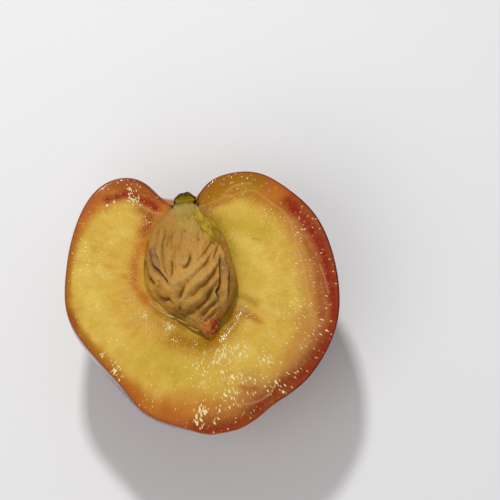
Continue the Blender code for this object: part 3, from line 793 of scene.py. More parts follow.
class FleshChoices(bpy.types.PropertyGroup):
    """The cut flesh."""

    yellow: colour_choice("Flesh", "Ripe flesh between the stone and the blush", (0.645, 0.395, 0.056))
    pale: colour_choice("Pale flesh", "The palest clouds in the flesh", (0.74, 0.52, 0.095))
    lime: colour_choice("Lime", "Greenish yellow flesh by the stalk and the stone", (0.47, 0.325, 0.010))
    orange: colour_choice("Orange", "Where the blush begins, and along the stone", (0.50, 0.150, 0.016))
    tan: colour_choice("Tan", "The outer flesh on the redder side", (0.47, 0.180, 0.052))
    ochre: colour_choice("Ochre", "Wet, shaded flesh by the stone and at the shoulder", (0.35, 0.150, 0.002))
    brown_red: colour_choice("Blush", "The blush close under the skin", (0.29, 0.046, 0.012))
    brown: colour_choice("Brown", "Bruised flesh close under the skin", (0.19, 0.038, 0.004))
    red: colour_choice("Red streaks", "The reddest streaks of the blush", (0.27, 0.016, 0.005))
    thread: colour_choice("Threads", "Pale threads that run in the flesh", (0.68, 0.46, 0.17))
    skin: colour_choice("Skin at the rim", "Where the skin shows along the rim", (0.17, 0.030, 0.030))
    # Painted highlight: the colour of the bright glints painted on the beads of juice.
    juice_glint: colour_choice("Juice", "Bright beads of juice", (0.96, 0.82, 0.40))
    bead_depth: length_choice("Juice beads", "Height of the beads of juice", 0.00008, 0.001)
    gloss: share_choice("Wetness", "How much of the face shines with juice", 0.50)


FLESH_ROWS_DOWN = 300               # rows of mesh down the flesh's edge, and round its back
FLESH_ROWS_ROUND = 26
FACE_ROWS = 118                     # rows of mesh from the edge to the stone, and inside the bowl
BOWL_ROWS = 12
SKIN_THICKNESS = 0.32
FLESH_EDGE = -0.06                  # how high the flesh's edge lies, just under the cut
LARGEST_BOWL = 0.985                # the bowl stays inside this share of the way to the edge
CLIMB = 0.75                        # how far the flesh climbs the stone on its higher side
CLIMB_LENGTH = 1.3
RIM_DIP = 0.03                      # the flesh dips a little at its rim
THREAD_HEIGHT = 0.025
WET_ROUGHNESS = 0.020
RED_DIP = 0.06
BLUSH_SWAY = 0.13                   # how far clouds move the blush's edge, as a share of its reach
OCHRE_SHADE_RING = 0.45                   # painted shade: how strongly ochre is painted right round the stone, and how far out
OCHRE_SHADE_RING_WIDTH = 0.6
RIM_WIDTH = 0.5
FIBRES_ROUND = 77.0                 # sets how fine the fibres that run out from the stone are
FIBRE_LENGTH = 0.5


def flesh_marks(x, y, rim):
    """What colours and wets the flesh at each place on the cut side, inside the line rim."""
    reach, angle = round_stone(x, y)
    bearing, blush_reach, redness = np.array(BLUSH).T
    degrees = np.degrees(angle)
    blush_reach = np.interp(degrees, bearing, blush_reach, period=360)
    place = on_plane(x, y)
    clouds = waves(place, (1.0, 5.0, 11), (0.6, 2.2, 12))
    wobble_x, wobble_y = x + 0.5 * lumps(place, 3.0, 14), y + 0.5 * lumps(place, 3.0, 15)
    from_rim, _ = nearest_on_line(x, y, rim)
    from_stone = np.maximum(reach - stone_reach(angle), 0)
    wet = np.zeros_like(x)
    for strength, radius, (wet_x, wet_y) in WET_GLINT_PLACES:
        wet = np.maximum(wet, strength * hump(np.hypot(wobble_x - wet_x, wobble_y - wet_y), radius))
    out = FIBRE_LENGTH * np.log(np.maximum(reach, 2.0))
    marks = {
        "blush": np.clip(1 - from_rim / blush_reach - BLUSH_SWAY * clouds, 0, 1),
        "redness": np.interp(degrees, bearing, redness, period=360),
        "thread": streaks(x + 0.12 * clouds, y + 0.12 * clouds, PALE_THREADS),
        "skin": streaks(x, y, SKIN_GLIMPSES),
        "wet": wet,
        "rim": np.exp(-from_rim / RIM_WIDTH),
        "ray": FIBRES_ROUND * np.stack([np.cos(angle), np.sin(angle), out], axis=-1),
    }
    places = {
        "red": RED_STREAKS, "brown": BROWN_STREAKS, "orange": ORANGE_STREAKS, "ochre": OCHRE_AND_SHADE_STREAKS,
        "lime": LIME_STREAKS, "pale": PALE_PLACES,
    }
    for mark, lines in places.items():
        marks[mark] = streaks(wobble_x, wobble_y, lines)
    # Painted shade: an ochre ring right round the stone's edge.
    marks["ochre"] = np.maximum(marks["ochre"], OCHRE_SHADE_RING * np.exp(-from_stone / OCHRE_SHADE_RING_WIDTH))
    return marks


def flesh_relief(x, y, marks):
    """The fine relief of the cut face at each place."""
    place = on_plane(x, y)
    relief = waves(place, (0.030, 2.6, 21), (0.012, 1.1, 22))
    relief += THREAD_HEIGHT * marks["thread"]
    relief += WET_ROUGHNESS * np.minimum(marks["wet"], 1) * lumps(place, 0.5, 24)
    return relief - RED_DIP * marks["red"] * fade(lumps(place, 1.6, 25), 0.0, 0.7)


def flesh_shape():
    """The flesh as one closed mesh: its points, faces and marks."""
    outside = skin_points(FLESH_ROWS_DOWN, FLESH_ROWS_ROUND)
    outside = outside - outward(outside) * SKIN_THICKNESS
    outside[:, [0, -1], 2] = FLESH_EDGE
    numbers, faces = faces_to_tip(*outside.shape[:2])
    faces = turned_over(faces)
    outside = listed_to_tip(outside)

    rim = np.concatenate([numbers[:, 0], numbers[-2::-1, -1], numbers[0, -2:0:-1]])
    edge = outside[rim]
    centre = np.array(stone_to_fruit(*STONE_CENTRE))
    ray = edge[:, :2] - centre
    angle = np.arctan2(ray[:, 1], ray[:, 0])
    bowl = np.minimum((stone_reach(angle) + meeting(angle)) / np.hypot(*ray.T), LARGEST_BOWL)
    on_face = 1 - spaced(FACE_ROWS, 0.75)[1:]
    in_bowl = np.sin(np.linspace(math.pi / 2, 0, BOWL_ROWS + 1))[1:-1]
    lines = [bowl + (1 - bowl) * share for share in on_face] + [bowl * share for share in in_bowl]
    x, y = np.moveaxis(centre + ray * np.array(lines)[..., None], -1, 0)
    marks = flesh_marks(x, y, [*edge[::5, :2], edge[0, :2]])

    share = np.concatenate([on_face, np.zeros(len(in_bowl))])[:, None]
    reach, turn = round_stone(x, y)
    from_stone = np.maximum(reach - stone_reach(turn), 0)
    z = face_height(x, y) - RIM_DIP * marks["rim"]
    z += np.where(share > 0, flesh_relief(x, y, marks), 0) * fade(1 - share, 0, 0.02)
    z += CLIMB * np.exp(-from_stone / CLIMB_LENGTH) * fade(np.cos(turn), -0.3, 0.8)

    start, count = len(outside), len(rim)
    bottom = np.array([[*centre, face_height(*centre[:, None])[0]]])
    points = np.vstack([outside, listed(np.stack([x, y, z], axis=-1)), bottom])
    first, last = start + np.arange(count), start + (len(lines) - 1) * count + np.arange(count)
    faces.append(np.stack([np.roll(rim, -1), rim, first, np.roll(first, -1)], axis=-1))
    faces += turned_over([
        grid_faces(len(lines), count, closed=True, start=start), fan_faces(last, len(points) - 1),
    ])
    filled = {}
    for mark, values in marks.items():
        empty = np.zeros((start, *values.shape[2:]))
        empty[rim] = values[0]
        filled[mark] = np.concatenate([empty, listed(values), values[-1, :1]])
    return points, faces, filled


def flesh_colour(f, look, fibres, fine_fibres, clouds, grain, mottle):
    """The flesh's colours, from the deepest layer to the skin at its rim, without the juice on it."""
    pale = f.plus(f.fade(clouds, 0.42, 0.66, 0.0, 0.55), f.times(f.mark("pale"), 0.8))
    colour = f.mix(pale, look.yellow, look.pale)
    colour = f.tinted(colour, look.orange, mottle, 0.48, 0.72, 0.17)
    colour = f.tinted(colour, look.pale, fibres, 0.46, 0.66, 0.25)
    colour = f.tinted(colour, look.orange, fibres, 0.50, 0.32, 0.10)
    colour = f.painted(colour, look.lime, "lime", fibres, 0.35, 0.60, 0.50)
    # Ochre flesh, with painted shade by the stone and in the hollow by its tip.
    colour = f.painted(colour, look.ochre, "ochre", grain, 0.25, 0.60, 0.75)
    colour = f.painted(colour, look.orange, "orange", grain, 0.30, 0.65, 0.65)
    colour = f.tinted(colour, look.pale, fine_fibres, 0.52, 0.75, 0.20)
    colour = f.tinted(colour, look.ochre, fine_fibres, 0.46, 0.28, 0.12)

    ragged = f.swayed(f.swayed(f.mark("blush"), fibres, 0.30), grain, 0.20)
    redness = f.mark("redness")
    outer = f.mix(f.fade(redness, 0.45, 0.85), look.orange, look.tan)
    outer = f.mix(f.fade(redness, 0.25, 0.10), outer, look.ochre)
    colour = f.tinted(colour, outer, ragged, 0.0, 0.80, 0.92)
    deep = f.times(f.fade(ragged, 0.55, 1.05), f.fade(redness, 0.0, 1.0, 0.25, 0.80))
    colour = f.mix(deep, colour, look.brown_red)
    colour = f.painted(colour, look.brown, "brown", grain, 0.30, 0.60, 0.60)
    streaky = f.plus(f.times(fibres, 0.4), f.times(grain, 0.6))
    colour = f.painted(colour, look.red, "red", streaky, 0.36, 0.56, 0.70)
    colour = f.painted(colour, look.thread, "thread", grain, 0.30, 0.60, 0.60)
    colour = f.painted(colour, look.brown_red, "rim", redness, 0.10, 0.60, 0.22, 0.60)
    return f.mix(f.mark("skin"), colour, look.skin)


def juice_beads_and_glints(f, ray, place, clouds, grain):
    """Where juice beads stand, with glints painted on them: scattered dots, larger where wet, longer where
    juice gathers.
    """
    gathered = f.times(f.mark("wet"), f.fade(f.noise(place, 1.6 * MM), 0.38, 0.58, 0.55, 1.0))
    nearness = f.times(f.spots(f.stretched(ray, (1.0, 1.0, 0.8)), 1.7), -1.0)
    dots = f.swayed(f.plus(f.times(gathered, 0.34), nearness), grain, 0.45)
    dots = f.fade(f.swayed(dots, clouds, 0.35), -0.16, -0.03)
    long_beads = f.noise(f.stretched(ray, (1.0, 1.0, 1.1)), 1.25, 1.0)
    return f.larger(dots, f.fade(f.plus(long_beads, f.times(gathered, 0.19)), 0.72, 0.80))


def flesh_finish(look):
    """Wet, ripe flesh: yellow clouds, fine fibres, an orange to brown-red blush, painted ochre shade by the
    stone and juice beads with painted glints.
    """
    f = Finish("nectarine_flesh")
    place, ray = f.place(), f.marked_place("ray")
    fibres = f.noise(f.stretched(ray, (1.0, 1.0, 0.22)), 5.0, 3.0, 0.55)
    fine_fibres = f.noise(f.stretched(ray, (1.0, 1.0, 0.45)), 1.5)
    clouds = f.noise(place, 5.5 * MM, 3.0)
    grain = f.noise(place, 0.8 * MM, 3.0, 0.6)
    mottle = f.noise(place, 2.6 * MM, 3.0, 0.6)
    colour = flesh_colour(f, look, fibres, fine_fibres, clouds, grain, mottle)
    beads_and_glints = juice_beads_and_glints(f, ray, place, clouds, grain)
    relief = f.bump(fine_fibres, 0.03 * MM)
    relief = f.bump(f.times(beads_and_glints, f.fade(f.mark("wet"), 0.0, 0.5, 0.4, 1.0)), look.bead_depth, relief)
    # Bright glints are painted into the base colour where the beads stand.
    f.wire(
        Base_Color=f.mix(f.times(beads_and_glints, 0.85), colour, look.juice_glint), Normal=relief,
        Roughness=f.fade(beads_and_glints, 0.0, 1.0, 0.50, 0.15), Specular_IOR_Level=0.03,
        Coat_Weight=f.fade(mottle, 0.40, 0.56, 0.10, look.gloss), Coat_Normal=relief,
        Coat_Roughness=0.07, Coat_IOR=1.33,
        Subsurface_Weight=0.10, Subsurface_Scale=0.7 * MM, Subsurface_Radius=(1.0, 0.55, 0.18),
    )
    return f.material


class NECTARINE_OT_flesh(bpy.types.Operator):
    """Builds the flesh of the half, with the bowl that holds the stone"""

    bl_idname = "nectarine.flesh"
    bl_label = "Flesh"

    def execute(self, context):
        points, faces, marks = flesh_shape()
        finish = flesh_finish(context.scene.nectarine_flesh)
        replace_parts(add_piece("flesh", points, faces, finish, marks), "fruit_half")
        return {"FINISHED"}


# ---------------------------------------------------------------- the skin

class SkinChoices(bpy.types.PropertyGroup):
    """The skin."""

    maroon: colour_choice("Maroon", "The darkest, sunniest side", (0.085, 0.004, 0.006))
    crimson: colour_choice("Crimson", "Most of the skin", (0.23, 0.010, 0.010))
    scarlet: colour_choice("Scarlet", "The brightest red", (0.46, 0.045, 0.014))
    gold: colour_choice("Gold", "Unblushed skin round the stalk", (0.50, 0.19, 0.012))
    rind: colour_choice("Cut edge", "The skin's cut edge on the paler side", (0.34, 0.085, 0.010))
    scar: colour_choice("Scars", "Thin dry scars", (0.42, 0.24, 0.11))
    peel: length_choice("Pores", "Depth of the fine pores", 0.00003, 0.0005)


SKIN_ROWS = 190
SKIN_COLUMNS = 240
INNER_SHARE = 0.97                  # the shell takes this share of the skin's thickness, clear of the flesh
OUTER_EDGE = -0.03                  # how high the shell's outer and inner edges lie, just under the cut
INNER_EDGE = -0.05
CAVITY = (0, 3.0, 0)                # the middle of the hollow round the stalk, and how far the gold reaches
CAVITY_REACH = 9.5
STREAKS_ROUND = 16                  # set how fine the streaks from the stalk to the tip are, and how long
STREAKS_ALONG = 4.0
SCARS = [                           # (strength, half width, points), as (turn round the back, share down)
    (0.9, 0.012, [(62, 0.30), (66, 0.36), (65, 0.42)]),
    (0.8, 0.010, [(120, 0.55), (126, 0.57), (131, 0.61)]),
    (0.7, 0.014, [(95, 0.72), (97, 0.76)]),
    (0.8, 0.010, [(150, 0.28), (147, 0.33), (149, 0.37), (147, 0.41)]),
]
SCAR_UNITS = (1 / 40, 2.0)          # bring those two to like lengths


def skin_shape():
    """The skin as a closed shell: its points, faces and marks."""
    outer = skin_points(SKIN_ROWS, SKIN_COLUMNS)
    normal = outward(outer)
    inner = outer - normal * SKIN_THICKNESS * INNER_SHARE
    off_spot = fade(outer[..., 2] - outer[..., 2].min(), 0.3, 4.0) * fade(-outer[..., 2], 0.0, 1.5)
    outer = outer + normal * (waves(outer, (0.16, 8.0, 31), (0.05, 3.0, 32)) * off_spot)[..., None]
    outer[:, [0, -1], 2] = OUTER_EDGE
    inner[:, [0, -1], 2] = INNER_EDGE
    rows, columns = outer.shape[:2]
    along, turn = np.meshgrid(np.linspace(0, 1, rows), np.linspace(0, math.pi, columns), indexing="ij")

    outside, inside = listed_to_tip(outer), listed_to_tip(inner)
    out, out_faces = faces_to_tip(rows, columns)
    into, in_faces = faces_to_tip(rows, columns, start=len(outside))
    faces = turned_over(out_faces) + in_faces
    for border in [(np.s_[:], 0), (np.s_[::-1], -1), (0, np.s_[::-1])]:
        edge_out, edge_in = out[border], into[border]
        faces.append(np.stack([edge_out[:-1], edge_out[1:], edge_in[1:], edge_in[:-1]], axis=-1))

    scars = [(strength, width, np.multiply(line, SCAR_UNITS)) for strength, width, line in SCARS]
    marks = {
        "cut_edge": fade(outer[..., 2], -0.45, -0.05) * fade(outer[..., 0], 26.0, 4.0),
        "edge": fade(outer[..., 2], -0.6, -0.1),
        "cavity": hump(np.linalg.norm(outer - CAVITY, axis=-1), CAVITY_REACH),
        "scar": streaks(np.degrees(turn) * SCAR_UNITS[0], along * SCAR_UNITS[1], scars),
        "meridian": np.stack(
            [np.cos(turn) * STREAKS_ROUND, np.sin(turn) * STREAKS_ROUND, along * STREAKS_ALONG], axis=-1
        ),
    }
    filled = {mark: np.concatenate([listed_to_tip(values)] * 2) for mark, values in marks.items()}
    return np.vstack([outside, inside]), faces, filled


def skin_finish(look):
    """Smooth, shiny skin: crimson, maroon and scarlet, gold round the stalk, flecked and scarred."""
    f = Finish("nectarine_skin")
    place = f.place()
    clouds = f.noise(place, 22.0 * MM, 3.0, 0.55)
    streak = f.noise(f.marked_place("meridian"), 1.0, 4.0, 0.6)
    mottle = f.noise(place, 1.1 * MM, 3.0, 0.65)
    tone = f.swayed(f.swayed(f.times(clouds, 0.9), streak, 0.22), mottle, 0.22)
    colour = f.ramp(tone, [(0.30, look.maroon), (0.46, look.crimson), (0.62, look.scarlet)])
    cavity = f.mark("cavity")
    colour = f.mix(f.fade(f.swayed(cavity, streak, 0.8), 0.30, 0.75), colour, look.gold)
    colour = f.mix(f.times(f.mark("cut_edge"), 0.85), colour, look.rind)
    colour = f.tinted(colour, look.gold, f.spots(place, 2.1 * MM), 0.16, 0.07, 0.40)
    scar = f.fade(f.swayed(f.mark("scar"), mottle, 0.8), 0.35, 0.7)
    colour = f.mix(scar, colour, look.scar)
    dull = f.larger(f.fade(cavity, 0.35, 0.75, 0.0, 0.7), f.times(f.mark("edge"), 0.6))
    relief = f.bump(f.noise(place, 0.7 * MM, 3.0, 0.6), look.peel)
    relief = f.bump(scar, 0.08 * MM, relief)
    f.wire(
        Base_Color=colour, Normal=relief,
        Roughness=f.larger(f.fade(scar, 0.0, 1.0, 0.30, 0.65), dull), Specular_IOR_Level=0.4,
        Coat_Weight=f.fade(dull, 0.1, 0.5, 0.80, 0.0), Coat_Roughness=0.12,
        Subsurface_Weight=0.04, Subsurface_Scale=1.0 * MM,
    )
    return f.material


class NECTARINE_OT_skin(bpy.types.Operator):
    """Builds the skin round the back of the half"""

    bl_idname = "nectarine.skin"
    bl_label = "Skin"

    def execute(self, context):
        points, faces, marks = skin_shape()
        finish = skin_finish(context.scene.nectarine_skin)
        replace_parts(add_piece("skin", points, faces, finish, marks), "fruit_half")
        return {"FINISHED"}


# ---------------------------------------------------------------- the stone

class StoneChoices(bpy.types.PropertyGroup):
    """The stone."""

    tan: colour_choice("Shell", "The ridges of the shell", (0.44, 0.215, 0.030))
    # Painted light: the lighter colour of the lower part of the shell.
    painted_light_shell: colour_choice("Lighter shell", "The lower part of the shell", (0.58, 0.290, 0.048))
    warm: colour_choice("Warm shell", "The stained side of the shell", (0.48, 0.200, 0.016))
    olive: colour_choice("Olive stain", "Stains by the tip and along the edge", (0.20, 0.105, 0.006))
    # Painted shade: the colour painted into the bottoms of the furrows.
    furrow_shade: colour_choice("Furrows", "The bottoms of the furrows", (0.085, 0.034, 0.006))
    cream: colour_choice("Stem end", "Pale flesh dried on by the stalk", (0.46, 0.29, 0.045))
    light: colour_choice("Worn ridges", "The sharpest ridges", (0.56, 0.34, 0.100))
    green: colour_choice("Green end", "The stone's stem end, under the stalk", (0.22, 0.150, 0.002))
    mauve: colour_choice("Mauve stain", "Stains in the deepest furrows", (0.15, 0.055, 0.040))
    red: colour_choice("Tip", "Red flesh left at the tip", (0.40, 0.070, 0.018))
    grain: length_choice("Grain", "Depth of the shell's fine grain", 0.00022, 0.001)


STONE_ROWS = 236
STONE_COLUMNS_ABOVE = 204
STONE_COLUMNS_BELOW = 40
BROAD_SHARE = 0.55                  # a furrow is a broad trough this deep with a narrow crease in it
BROAD_SHADE = 0.12               # and the trough has this share of its darkness
BACK_FURROW_SHADE = 0.7
ROPE_HEIGHT = 0.20                  # fine ropes of shell run along the furrows, with dark dips between them
ROPE_SHADE = 0.55
EDGE_FADE = 5                       # relief fades towards the stone's edge and ends
END_FADE = 4
RED_TIP = (0.6, STONE_LENGTH - 0.2)
STRAND_STRETCH = (1.0, 0.22, 1.0)   # the shell's strands are long from end to end
FLESH_ON_STONE = [(-1.4, 0.0), (-1.4, 3.0), (-0.6, 6.6), (0.8, 8.4)]
OLIVE_STAINS = [
    (0.80, 1.2, [(6.2, 19.0), (7.6, 22.0), (7.4, 25.0)]),
    (0.75, 1.3, [(-7.6, 28.4), (-5.0, 29.6), (-2.4, 29.4), (-1.0, 30.6)]),
    (0.55, 1.4, [(0.6, 25.6), (1.6, 27.4), (2.6, 29.0)]),
    (0.60, 1.0, [(3.6, 24.0), (4.6, 26.8)]),
]
MAUVE_STAINS = [(0.60, 0.7, [(-11.3, 11.3), (-11.6, 14.8), (-11.0, 17.5)])]


def furrow_depth(across, down):
    """How deep the furrows and pits of the upper face are at each place, and how much shade is painted in
    them.
    """
    place = on_plane(across, down)
    across = across + waves(place, (0.16, 2.6, 41), (0.08, 0.9, 42))
    down = down + waves(place, (0.16, 2.6, 43), (0.08, 0.9, 44))
    depth, furrow_shade = np.zeros_like(across), np.zeros_like(across)
    for deep, half_width, painted_shade, points in FURROWS:
        trough, crease = trough_and_crease(across, down, points, half_width)
        depth = np.maximum(depth, deep * (BROAD_SHARE * trough + (1 - BROAD_SHARE) * crease))
        furrow_shade = np.maximum(furrow_shade, painted_shade * (BROAD_SHADE * trough + (1 - BROAD_SHADE) * crease))
    for pit_across, pit_down, radius, deep, painted_shade in PITS:
        pit = hump(np.hypot(across - pit_across, down - pit_down), radius)
        depth, furrow_shade = np.maximum(depth, deep * pit), np.maximum(furrow_shade, painted_shade * pit)
    return depth, furrow_shade


def shell_ropes(place):
    """Fine ropes from -1 to 1: they run down the stone by its stem end and across it nearer the tip."""
    across, down, height = np.moveaxis(place, -1, 0)
    by_stem = np.stack([across + 0.25 * down, 0.2 * down, height], axis=-1)
    by_tip = np.stack([0.58 * across + 0.81 * down, 0.16 * across - 0.12 * down, height], axis=-1)
    turned = fade(down + 0.7 * across + 0.8 * lumps(place, 4.0, 50), 14.0, 19.0)
    return (1 - turned) * lumps(by_stem, 1.1, 45) + turned * lumps(by_tip, 1.0, 57)


def stone_shape():
    """The stone as one closed mesh: its points, faces and marks."""
    over = 1 - 2 * spaced(STONE_COLUMNS_ABOVE, 0.5)
    under = -np.cos(math.pi * np.linspace(0, 1, STONE_COLUMNS_BELOW + 1))[1:-1]
    side = np.concatenate([over, under])[None, :]
    above = np.arange(side.size) < over.size
    down = STONE_LENGTH * spaced(STONE_ROWS, 0.65)[1:-1, None]
    middle, half, thick = stone_section(down)
    from_middle, height = half * side, thick * arch(side) * np.where(above, 1, -1)
    across, down = middle + from_middle, np.broadcast_to(down, height.shape)
    place = np.stack([across, down, height], axis=-1)

    ribs = BACK_FURROW_DEPTH * np.clip(np.cos(BACK_FURROWS * np.arcsin(side)), 0, 1)
    furrows, furrow_shade = furrow_depth(across, down)
    furrows, furrow_shade = np.where(above, furrows, ribs), np.where(above, furrow_shade, BACK_FURROW_SHADE * ribs)
    ropes = shell_ropes(place)
    grain = waves(place, (0.06, 1.5, 46), (0.05, 0.6, 47)) + ROPE_HEIGHT * ropes
    raised = streaks(across, down, RIDGES) * above + np.where(above, grain, 0)
    # Painted shade in the dips between the ropes.
    furrow_shade = np.maximum(furrow_shade, ROPE_SHADE * fade(-ropes, 0.2, 1.1) * fade(down, 1.0, 5.0) * above)
    axis = np.hypot(from_middle, height)
    by_edge = np.clip(EDGE_FADE * np.sqrt(1 - side**2), 0, 1)
    depth = np.minimum(furrows * by_edge, DEEPEST_SHARE * axis)
    depth = depth - raised * np.minimum(by_edge, np.minimum(axis / END_FADE, 1))
    kept = 1 - depth / axis
    x, y = stone_to_fruit(middle + from_middle * kept, down)
    rings = np.stack([x, y, height * kept + rolled(middle + from_middle * kept)], axis=-1)
    ends = [(*stone_to_fruit(0, 0), STONE_END_LIFT), (*stone_to_fruit(0, STONE_LENGTH), STONE_TIP_LIFT)]

    wobble = waves(place, (1.0, 2.5, 48), (0.5, 1.0, 49))
    from_flesh = nearest_on_line(across, down, FLESH_ON_STONE)[0] + 0.8 * wobble
    from_tip = np.hypot((across - RED_TIP[0]) * 0.8, down - RED_TIP[1])
    sharpest = [(1.0, half_width, line) for _, half_width, line in RIDGES]
    marks = {
        "furrow_shade": np.clip(furrow_shade * by_edge, 0, 1),
        "cream": fade(from_flesh, 3.0, 1.4) * above,
        "green": fade(down + 0.5 * wobble, 1.6, 0.5) * above,
        # Painted light: where the lower part of the shell is painted lighter.
        "lower": fade(down + 0.5 * across + wobble, 6.0, 20.0),
        "warm": fade(across + 0.45 * down + wobble, 7.0, 14.0),
        "olive": streaks(across + 0.4 * wobble, down, OLIVE_STAINS) * above,
        "mauve": streaks(across, down, MAUVE_STAINS) * above,
        "light": streaks(across, down, sharpest) * above,
        "red": fade(from_tip + wobble, 3.4, 1.4),
        "strand_place": place * STRAND_STRETCH,
    }
    filled = {}
    for mark, values in marks.items():
        values = listed(values)
        filled[mark] = np.concatenate([values, values[:1], values[-1:]])
    return np.vstack([listed(rings), ends]), tube_faces(*rings.shape[:2]), filled


def stone_finish(look):
    """Damp, woody shell with fibrous grain, shade painted in its furrows, a pale stem end and a red-stained
    tip.
    """
    f = Finish("stone_shell")
    place = f.place()
    strands = f.noise(f.marked_place("strand_place"), 0.8, 4.0, 0.6)
    clouds = f.noise(place, 4.0 * MM, 3.0)
    grain = f.noise(place, 0.6 * MM, 4.0, 0.65)
    # Painted light: the lower part of the shell is painted lighter.
    colour = f.mix(f.mark("lower"), look.tan, look.painted_light_shell)
    colour = f.painted(colour, look.warm, "warm", clouds, 0.30, 0.70, 0.30, 0.85)
    colour = f.tinted(colour, look.warm, strands, 0.55, 0.30, 0.35)
    colour = f.tinted(colour, look.light, grain, 0.55, 0.75, 0.35)
    colour = f.tinted(colour, look.olive, grain, 0.46, 0.26, 0.35)
    colour = f.painted(colour, look.light, "light", grain, 0.35, 0.60, 0.15, 0.65)
    colour = f.painted(colour, look.olive, "olive", grain, 0.30, 0.60, 0.50)
    colour = f.painted(colour, look.cream, "cream", strands, 0.35, 0.55, 0.35, 0.90)
    colour = f.mix(f.mark("green"), colour, look.green)
    # Painted shade in the furrows, pits and dips between the ropes.
    colour = f.tinted(colour, look.furrow_shade, f.mark("furrow_shade"), 0.05, 0.95, 0.85)
    colour = f.mix(f.mark("mauve"), colour, look.mauve)
    colour = f.painted(colour, look.red, "red", grain, 0.30, 0.60, 0.55)
    relief = f.bump(strands, 0.22 * MM)
    relief = f.bump(f.noise(place, 1.1 * MM), 0.30 * MM, relief)
    relief = f.bump(grain, look.grain, relief)
    f.wire(
        Base_Color=colour, Normal=relief,
        Roughness=f.fade(clouds, 0.35, 0.70, 0.45, 0.65), Specular_IOR_Level=0.25,
        Coat_Weight=f.fade(f.noise(place, 1.0 * MM), 0.54, 0.64, 0.05, 1.0), Coat_Normal=relief,
        Coat_Roughness=0.12,
    )
    return f.material


class NECTARINE_OT_stone(bpy.types.Operator):
    """Builds the furrowed stone"""

    bl_idname = "nectarine.stone"
    bl_label = "Stone"

    def execute(self, context):
        points, faces, marks = stone_shape()
        finish = stone_finish(context.scene.nectarine_stone)
        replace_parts(add_piece("stone_shell", points, faces, finish, marks), "stone")
        return {"FINISHED"}


# ---------------------------------------------------------------- the stalk

class StalkChoices(bpy.types.PropertyGroup):
    """The stub of the stalk."""

    bark: colour_choice("Bark", "Dark bark", (0.055, 0.022, 0.004))
    bark_edge: colour_choice("Bark edges", "Worn edges of the bark", (0.20, 0.115, 0.030))
    green: colour_choice("Green tissue", "Green tissue below the bark", (0.20, 0.135, 0.001))
    lime: colour_choice("Wet tissue", "The palest green, by the fruit", (0.27, 0.185, 0.003))


STALK_ROWS = 90
STALK_SIDES = 140
STALK_HALF_WIDTH = 2.6
ARCH_DROP = 0.9                     # how much lower the stub's top is at its two sides
TEAR_START = 1.1                    # above this height the top is torn
BARK_START = 0.80                   # above this height the stub is bark, less high towards its sides
BARK_CURVE = 0.13
INNER_BARK = 0.35                   # how far above that a paler line of inner bark lies


def stalk_shape():
    """The stub of the stalk as one closed mesh: its points, faces and marks."""
    rings = np.array(STALK_RINGS)
    strides = np.concatenate([[0], np.cumsum(np.linalg.norm(np.diff(rings, axis=0), axis=1))])
    at = np.linspace(0, strides[-1], STALK_ROWS)
    turn = 2 * math.pi * np.arange(STALK_SIDES) / STALK_SIDES
    at, turn = np.meshgrid(at, turn, indexing="ij")
    height, radius = (np.interp(at, strides, column) for column in rings.T)
    place = np.stack(
        [STALK_HALF_WIDTH * np.cos(turn), 0.5 * height, STALK_HALF_WIDTH * np.sin(turn)], axis=-1
    )
    bark = waves(place, (0.14, 0.8, 51), (0.07, 0.35, 52)) * fade(radius, 1.0, 2.4)
    grown = radius * (1 + 0.04 * np.cos(5 * turn)) + bark
    teeth = 0.22 * np.sin(2 * turn + 0.7) + 0.14 * np.sin(7 * turn)
    x, y = grown * np.cos(turn), height + np.maximum(height - TEAR_START, 0) * teeth
    y = y - ARCH_DROP * np.minimum(np.abs(x) / STALK_HALF_WIDTH, 1) ** 2 * fade(height, 0.5, 1.5)
    front = on_plane(x, y)
    ragged = waves(front, (0.20, 0.9, 53), (0.10, 0.4, 55))
    level = y + BARK_CURVE * x**2 - BARK_START
    rind = np.maximum(fade(np.abs(x) + ragged, 2.35, 2.6), fade(level + ragged, 0.0, 0.25))
    cut = STALK_CUT - 0.20 + 0.35 * np.maximum(height, 0) + 0.25 * rind + 0.05 * lumps(front, 0.6, 54)
    z = np.minimum(STALK_LIFT + grown * np.sin(turn), cut)
    points, faces = tube(np.stack([x, y, z], axis=-1))
    upper = fade(np.sin(turn), -0.2, 0.3)
    marks = {
        "green": (1 - rind) * upper,
        "worn": fade(at, strides[-2] - 0.8, strides[-2]),
        "foot": fade(y, 0.7, -0.3),
        "inner": fade(np.abs(level + 0.5 * ragged - INNER_BARK), 0.35, 0.10) * upper,
    }
    filled = {}
    for mark, values in marks.items():
        filled[mark] = np.append(values.ravel(), [values[0].mean(), values[-1].mean()])
    return points, turned_over(faces), filled


def stalk_finish(look):
    """Dark, cracked bark above green tissue."""
    f = Finish("stalk_bark")
    place = f.place()
    crack = f.noise(f.stretched(place, (1.0, 0.45, 1.0)), 0.6 * MM, 4.0, 0.65)
    grain = f.noise(place, 0.3 * MM, 3.0, 0.6)
    colour = f.tinted(look.bark, look.bark_edge, crack, 0.54, 0.70, 0.6)
    colour = f.painted(colour, look.bark_edge, "worn", grain, 0.30, 0.60, 0.10, 0.50)
    colour = f.painted(colour, look.bark_edge, "inner", crack, 0.35, 0.60, 0.20, 0.70)
    tissue = f.mix(f.plus(f.times(f.mark("foot"), 0.6), f.times(crack, 0.5)), look.green, look.lime)
    green = f.mark("green")
    f.wire(
        Base_Color=f.mix(f.fade(green, 0.25, 0.75), colour, tissue), Normal=f.bump(crack, 0.18 * MM),
        Roughness=f.fade(green, 0.2, 0.8, 0.75, 0.45), Specular_IOR_Level=0.06,
    )
    return f.material


